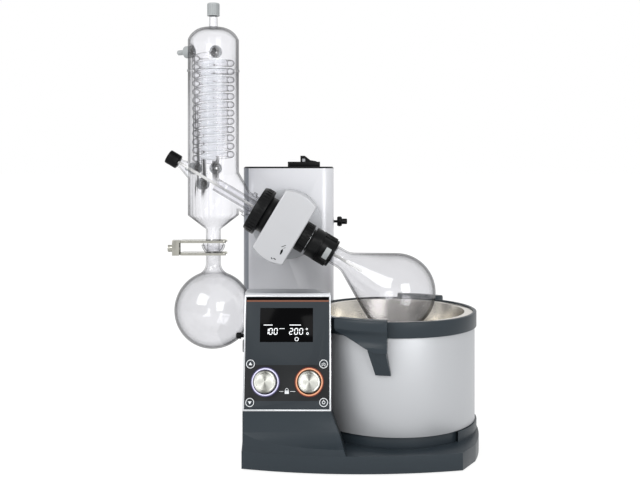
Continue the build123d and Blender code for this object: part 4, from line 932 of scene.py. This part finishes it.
class EVAPORATOR_OT_knobs(bpy.types.Operator):
    """Both knobs with their rings, and the four keys"""

    bl_idname = "evaporator.knobs"
    bl_label = "Knobs and keys"

    def execute(self, context):
        for name, x in KNOBS.items():
            dressed(name, spun_knob(name, x), edge=0.35)
        rings = dressed("knob_light_rings", FINISH["ring_cool"], edge=0.2)
        rings.data.materials.append(FINISH["ring_warm"])
        middle = sum(KNOBS.values()) / 2 * MM
        for face in rings.data.polygons:
            face.material_index = int(face.center.x > middle)
        for x, glow in zip(KNOBS.values(), (FINISH["glow_cool"], FINISH["glow_warm"])):
            # A dark ring of painted shade in the gap between the knob and its light ring
            gap_shade = washer("knob_gap_painted_shade", *KNOB_GAP_SHADE, PRINT_H, panel_place(x, KNOB_UP, RING_FACE))
            settle(coat(gap_shade, FINISH["window"]), "base", slot="panel_film")
            halo = washer("knob_glow", *KNOB_HALO, PRINT_H, panel_place(x, KNOB_UP, HALO_OUT))
            settle(coat(halo, glow), "base", slot="light_ring")
        for name, (x, up) in KEYS.items():
            dressed(name, FINISH["film"], edge=0.15)
            place = panel_place(x, up, KEY_FACE)
            parts = [washer("rim", *KEY_RIM, PRINT_H, place, 48)]
            parts += [plate("sign", outline, PRINT_H, place) for outline in key_sign(name)]
            if name == "key_power":
                parts.append(washer("dot", *POWER_DOT, PRINT_H, place, 28))
            settle(coat(join(name + "_sign", parts), FINISH["print"]), name, slot="light_ring")
        return {"FINISHED"}


# Drive head and what turns in it

def cover_signs():
    """Outlines of the marks on the cover's lower end, in millimetres of X and height."""
    return [
        [(-66.6, 321.0), (-64.6, 328.0), (-61.4, 330.4), (-61.0, 326.6), (-64.2, 321.2)],
        stroke(-63.6, 333.6, -56.4, 336.2, 1.1),
        stroke(-60.2, 331.2, -56.8, 332.4, 0.7),
        stroke(-80.4, 316.2, -78.8, 313.2, 1.6),
        stroke(-76.6, 315.0, -73.2, 312.6, 1.6),
    ]


class EVAPORATOR_OT_head(bpy.types.Operator):
    """Drive head with its cover, drum and collar"""

    bl_idname = "evaporator.head"
    bl_label = "Drive head"

    def execute(self, context):
        dressed("head_housing", FINISH["drum"], edge=0.8, crease=30, rounds=3)
        dressed("head_front_cover", FINISH["silver"], edge=0.4, crease=30)
        dressed("pivot_drum", FINISH["drum"], edge=1.0, crease=30, rounds=3)
        marks = [plate("mark", outline, COVER_PRINT_H, front_place(COVER_FACE))
                 for outline in cover_signs()]
        settle(coat(join("cover_marks", marks), FINISH["black"]), "head", slot="black_plastic")
        dressed("head_flange", FINISH["black"], edge=0.6)
        for name in ("tilt_shaft", "drive_bearings", "motor_pinion"):
            paint(name, FINISH["steel"])
        paint("drive_motor", FINISH["black"])
        for name in ("drive_gear", "vapour_seal"):
            paint(name, FINISH["white"])
        return {"FINISHED"}


def clip_window():
    """A curved pale window let into the flask clip."""
    radius = WINDOW_R * MM
    arc = []
    for step in range(WINDOW_STEPS + 1):
        turn = math.radians(WINDOW_FROM - step * WINDOW_SPAN / WINDOW_STEPS)
        arc.append((radius * math.cos(turn), -radius * math.sin(turn), 0))
    piece = line_piece("clip_window", arc)
    edit_all(piece)
    extrude_up(WINDOW_LENGTH)
    bpy.ops.object.mode_set(mode="OBJECT")
    bpy.ops.object.modifier_add(type="SOLIDIFY")
    piece.modifiers[-1].thickness = WINDOW_WALL * MM
    piece.modifiers[-1].offset = 0
    apply_modifiers(piece)
    piece.matrix_world = drive_place(WINDOW_ALONG)
    bpy.ops.object.shade_smooth_by_angle(angle=math.radians(40))
    settle(coat(piece, FINISH["cap_grey"]), "drive", slot="grey_cap")


class EVAPORATOR_OT_coupling(bpy.types.Operator):
    """Union nut, ejector nut, flask clip and hollow shaft"""

    bl_idname = "evaporator.coupling"
    bl_label = "Couplings"

    def execute(self, context):
        dressed("union_nut", FINISH["black"], edge=0.3)
        dressed("ejector_nut", FINISH["black"], edge=0.3)
        dressed("flask_clip", FINISH["black"], edge=0.4)
        clip_window()
        dressed("hollow_shaft", FINISH["steel"])
        return {"FINISHED"}


# Glass and its clamp

def turned_bead(name, radius, thick, height):
    """A thin bead of glass round the condenser's axis, in millimetres."""
    clear()
    bpy.ops.mesh.primitive_torus_add(
        major_radius=radius * MM, minor_radius=thick * MM, major_segments=96,
        minor_segments=10, location=(CONDENSER_X, 0, height * MM))
    piece = bpy.context.object
    piece.name = name
    bpy.ops.object.shade_smooth()
    return piece


class EVAPORATOR_OT_glassware(bpy.types.Operator):
    """Condenser, coils, tubes, flasks and their caps"""

    bl_idname = "evaporator.glassware"
    bl_label = "Glassware"

    def execute(self, context):
        for name in ("condenser_jacket", "vapour_tube"):
            dressed(name, FINISH["glass"], crease=50, flat=False)
        for name in ("receiving_flask", "evaporating_flask"):
            dressed(name, FINISH["flask"], crease=50, flat=False)
        coils = dressed("cooling_coils", FINISH["coil"], crease=50, flat=False)
        # Faces of the inner coil get its painted glow
        coils.data.materials.append(FINISH["inner_coil"])
        for face in coils.data.polygons:
            away = Vector((face.center.x - CONDENSER_X, face.center.y)).length
            inside = away < INNER_COIL_OUT and COIL_LOW < face.center.z < COIL_TOP
            face.material_index = int(inside)
        weld = turned_bead("weld_bead", SEAM_R, SEAM_THICK, SEAM_UP)
        settle(coat(weld, FINISH["weld"]), "head", slot="glass")
        dressed("hose_caps", FINISH["cap_grey"], edge=0.2)
        dressed("top_cap", FINISH["cap_grey"], edge=0.2)
        dressed("feed_cap", FINISH["black"], edge=0.2)
        dressed("feed_tube", FINISH["white"])
        return {"FINISHED"}


class EVAPORATOR_OT_clamp(bpy.types.Operator):
    """Ball-joint clamp"""

    bl_idname = "evaporator.clamp"
    bl_label = "Clamp"

    def execute(self, context):
        for name in ("clamp_upper_fork", "clamp_lower_fork", "clamp_screw"):
            dressed(name, FINISH["fork_steel"], edge=0.25)
        return {"FINISHED"}


# Bath

def grip(turn):
    """One grip: its profile swept round the bath and cut off on a slant below."""
    start = turn - HANDLE_SPAN / 2
    points = [(BATH_X + r * MM * math.cos(start), r * MM * math.sin(start), z * MM)
              for r, z in GRIP_PROFILE]
    piece = line_piece("grip", points, closed=True)
    edit_all(piece)
    fill_outline()
    # A negative turn, because the spin runs clockwise as seen from above
    bpy.ops.mesh.spin(
        steps=GRIP_STEPS, angle=-HANDLE_SPAN, center=(BATH_X, 0, 0), axis=(0, 0, 1))
    face_outwards()
    lean = math.sin(GRIP_SLANT)
    rise = (-math.sin(turn) * lean, math.cos(turn) * lean, math.cos(GRIP_SLANT))
    corner = (BATH_X + CUT_R * math.cos(start), CUT_R * math.sin(start), CUT_UP)
    bpy.ops.mesh.bisect(plane_co=corner, plane_no=rise, use_fill=True, clear_inner=True)
    bpy.ops.object.mode_set(mode="OBJECT")
    return piece


def handles():
    """Both grips, joined to the legs that rest on the bath's wall."""
    legs = dressed("bath_handles", FINISH["charcoal"])
    edit_all(legs)
    bpy.ops.mesh.bisect(plane_co=(0, 0, LEG_TOP), plane_no=(0, 0, 1), use_fill=True,
                        clear_outer=True)
    bpy.ops.object.mode_set(mode="OBJECT")
    both = join("bath_handles_shown", [legs, grip(HANDLE_TURN), grip(HANDLE_TURN + math.pi)])
    soften(both, 0.7)
    bpy.ops.object.shade_smooth_by_angle(angle=math.radians(32))
    coat(both, FINISH["charcoal"])


class EVAPORATOR_OT_bath(bpy.types.Operator):
    """Heating bath"""

    bl_idname = "evaporator.bath"
    bl_label = "Heating bath"

    def execute(self, context):
        dressed("bath_pot", FINISH["stainless"], edge=0.3)
        dressed("bath_shell", FINISH["bath"], edge=0.2)
        dressed("bath_collar", FINISH["charcoal"], edge=0.5)
        handles()
        dressed("bath_foot_ring", FINISH["charcoal"], edge=0.5)
        paint("bath_heater", FINISH["black"])
        return {"FINISHED"}


# Stage

def seen_share(tree):
    """1 for rays that show the background: from the camera, from gloss and through glass."""
    ray = add(tree, "ShaderNodeLightPath")
    first = add(tree, "ShaderNodeMath", operation="MAXIMUM", links={
        0: ray.outputs["Is Camera Ray"], 1: ray.outputs["Is Glossy Ray"]})
    both = add(tree, "ShaderNodeMath", operation="MAXIMUM", links={
        0: first.outputs["Value"], 1: ray.outputs["Is Transmission Ray"]})
    return both.outputs["Value"]


def make_floor():
    """A wide pale floor that fades into the white background and keeps the shadow."""
    clear()
    bpy.ops.mesh.primitive_plane_add(size=FLOOR_SIZE, location=(0, FLOOR_MIDDLE_Y, 0))
    floor = bpy.context.object
    floor.name = "floor"
    material, tree, output = new_material("pale_floor")
    matt = add(tree, "ShaderNodeBsdfDiffuse", {"Color": linear("#f7f7f7")})
    glow = add(tree, "ShaderNodeEmission", {"Color": (1, 1, 1, 1), "Strength": FLOOR_GLOW})
    share = add(tree, "ShaderNodeMath", {1: FLOOR_GLOW_SHARE}, {0: seen_share(tree)},
                operation="MULTIPLY")
    mixed = add(tree, "ShaderNodeMixShader", links={
        "Fac": share.outputs["Value"], 1: matt.outputs["BSDF"], 2: glow.outputs["Emission"]})
    tree.links.new(mixed.outputs["Shader"], output.inputs["Surface"])
    coat(floor, material)


def make_world(scene):
    """Even studio light for the object, and plain white behind it."""
    world = bpy.data.worlds.new("studio")
    world.use_nodes = True
    tree = world.node_tree
    tree.nodes.clear()
    output = add(tree, "ShaderNodeOutputWorld")
    soft = add(tree, "ShaderNodeBackground", {"Color": (1, 1, 1, 1), "Strength": STUDIO_LIGHT})
    white = add(tree, "ShaderNodeBackground", {"Color": (1, 1, 1, 1), "Strength": 1.0})
    mixed = add(tree, "ShaderNodeMixShader", links={
        "Fac": seen_share(tree), 1: soft.outputs["Background"],
        2: white.outputs["Background"]})
    tree.links.new(mixed.outputs["Shader"], output.inputs["Surface"])
    scene.world = world


def lamp(name, place, target, size, power):
    """A square soft lamp that looks at a point."""
    clear()
    aim = (Vector(target) - Vector(place)).to_track_quat("-Z", "Y").to_euler()
    bpy.ops.object.light_add(type="AREA", location=place, rotation=aim)
    made = bpy.context.object
    made.name = name
    made.data.size = size
    made.data.energy = power


def make_camera(scene, distance, height):
    """The level camera that the photo was taken with."""
    clear()
    bpy.ops.object.camera_add(
        location=(0, -distance, height), rotation=(math.radians(90), 0, 0))
    camera = bpy.context.object
    camera.name = "photo_camera"
    camera.data.lens = camera.data.sensor_width * FOCAL_LENGTH / FRAME_WIDTH
    camera.data.shift_y = -HORIZON_UP / FRAME_WIDTH
    camera.data.clip_start = 0.05
    scene.camera = camera


class EVAPORATOR_OT_stage(bpy.types.Operator):
    """Floor, world, lamps and camera"""

    bl_idname = "evaporator.stage"
    bl_label = "Stage"

    def execute(self, context):
        scene = context.scene
        settings = scene.evaporator_stage
        make_floor()
        make_world(scene)
        lamp("key_lamp", place=(-1.15, -1.55, 1.55), target=(0, 0, 0.3), size=1.3,
             power=settings.key_power)
        lamp("fill_lamp", place=(0.9, -1.9, 0.9), target=(0, 0, 0.35), size=1.0,
             power=settings.fill_power)
        make_camera(scene, settings.camera_distance, settings.camera_height)
        scene.view_settings.view_transform = "Standard"
        return {"FINISHED"}


ORDER = ("finishes", "base", "tower", "console", "knobs", "head", "coupling", "glassware",
         "clamp", "bath", "stage")


class EVAPORATOR_PT_build(bpy.types.Panel):
    """Lists the steps that build the evaporator"""

    bl_label = "Rotary evaporator"
    bl_idname = "EVAPORATOR_PT_build"
    bl_space_type = "VIEW_3D"
    bl_region_type = "UI"
    bl_category = "Evaporator"

    def draw(self, context):
        layout = self.layout
        for settings_name in SETTINGS:
            group = getattr(context.scene, settings_name)
            box = layout.box()
            for name in group.__annotations__:
                box.prop(group, name)
        for name in ORDER:
            layout.operator("evaporator." + name)


CLASSES = (
    *SETTINGS.values(), EVAPORATOR_OT_finishes, EVAPORATOR_OT_base, EVAPORATOR_OT_tower,
    EVAPORATOR_OT_console, EVAPORATOR_OT_knobs, EVAPORATOR_OT_head, EVAPORATOR_OT_coupling,
    EVAPORATOR_OT_glassware, EVAPORATOR_OT_clamp, EVAPORATOR_OT_bath, EVAPORATOR_OT_stage,
    EVAPORATOR_PT_build,
)


def register():
    """Adds the classes and the settings."""
    for item in CLASSES:
        bpy.utils.register_class(item)
    for name, group in SETTINGS.items():
        setattr(bpy.types.Scene, name, bpy.props.PointerProperty(type=group))


def unregister():
    """Removes the settings and the classes."""
    for name in SETTINGS:
        delattr(bpy.types.Scene, name)
    for item in reversed(CLASSES):
        bpy.utils.unregister_class(item)


def main():
    """Builds every piece in order."""
    register()
    for name in ORDER:
        getattr(bpy.ops.evaporator, name)()
    clear()


if __name__ == "__main__":
    main()
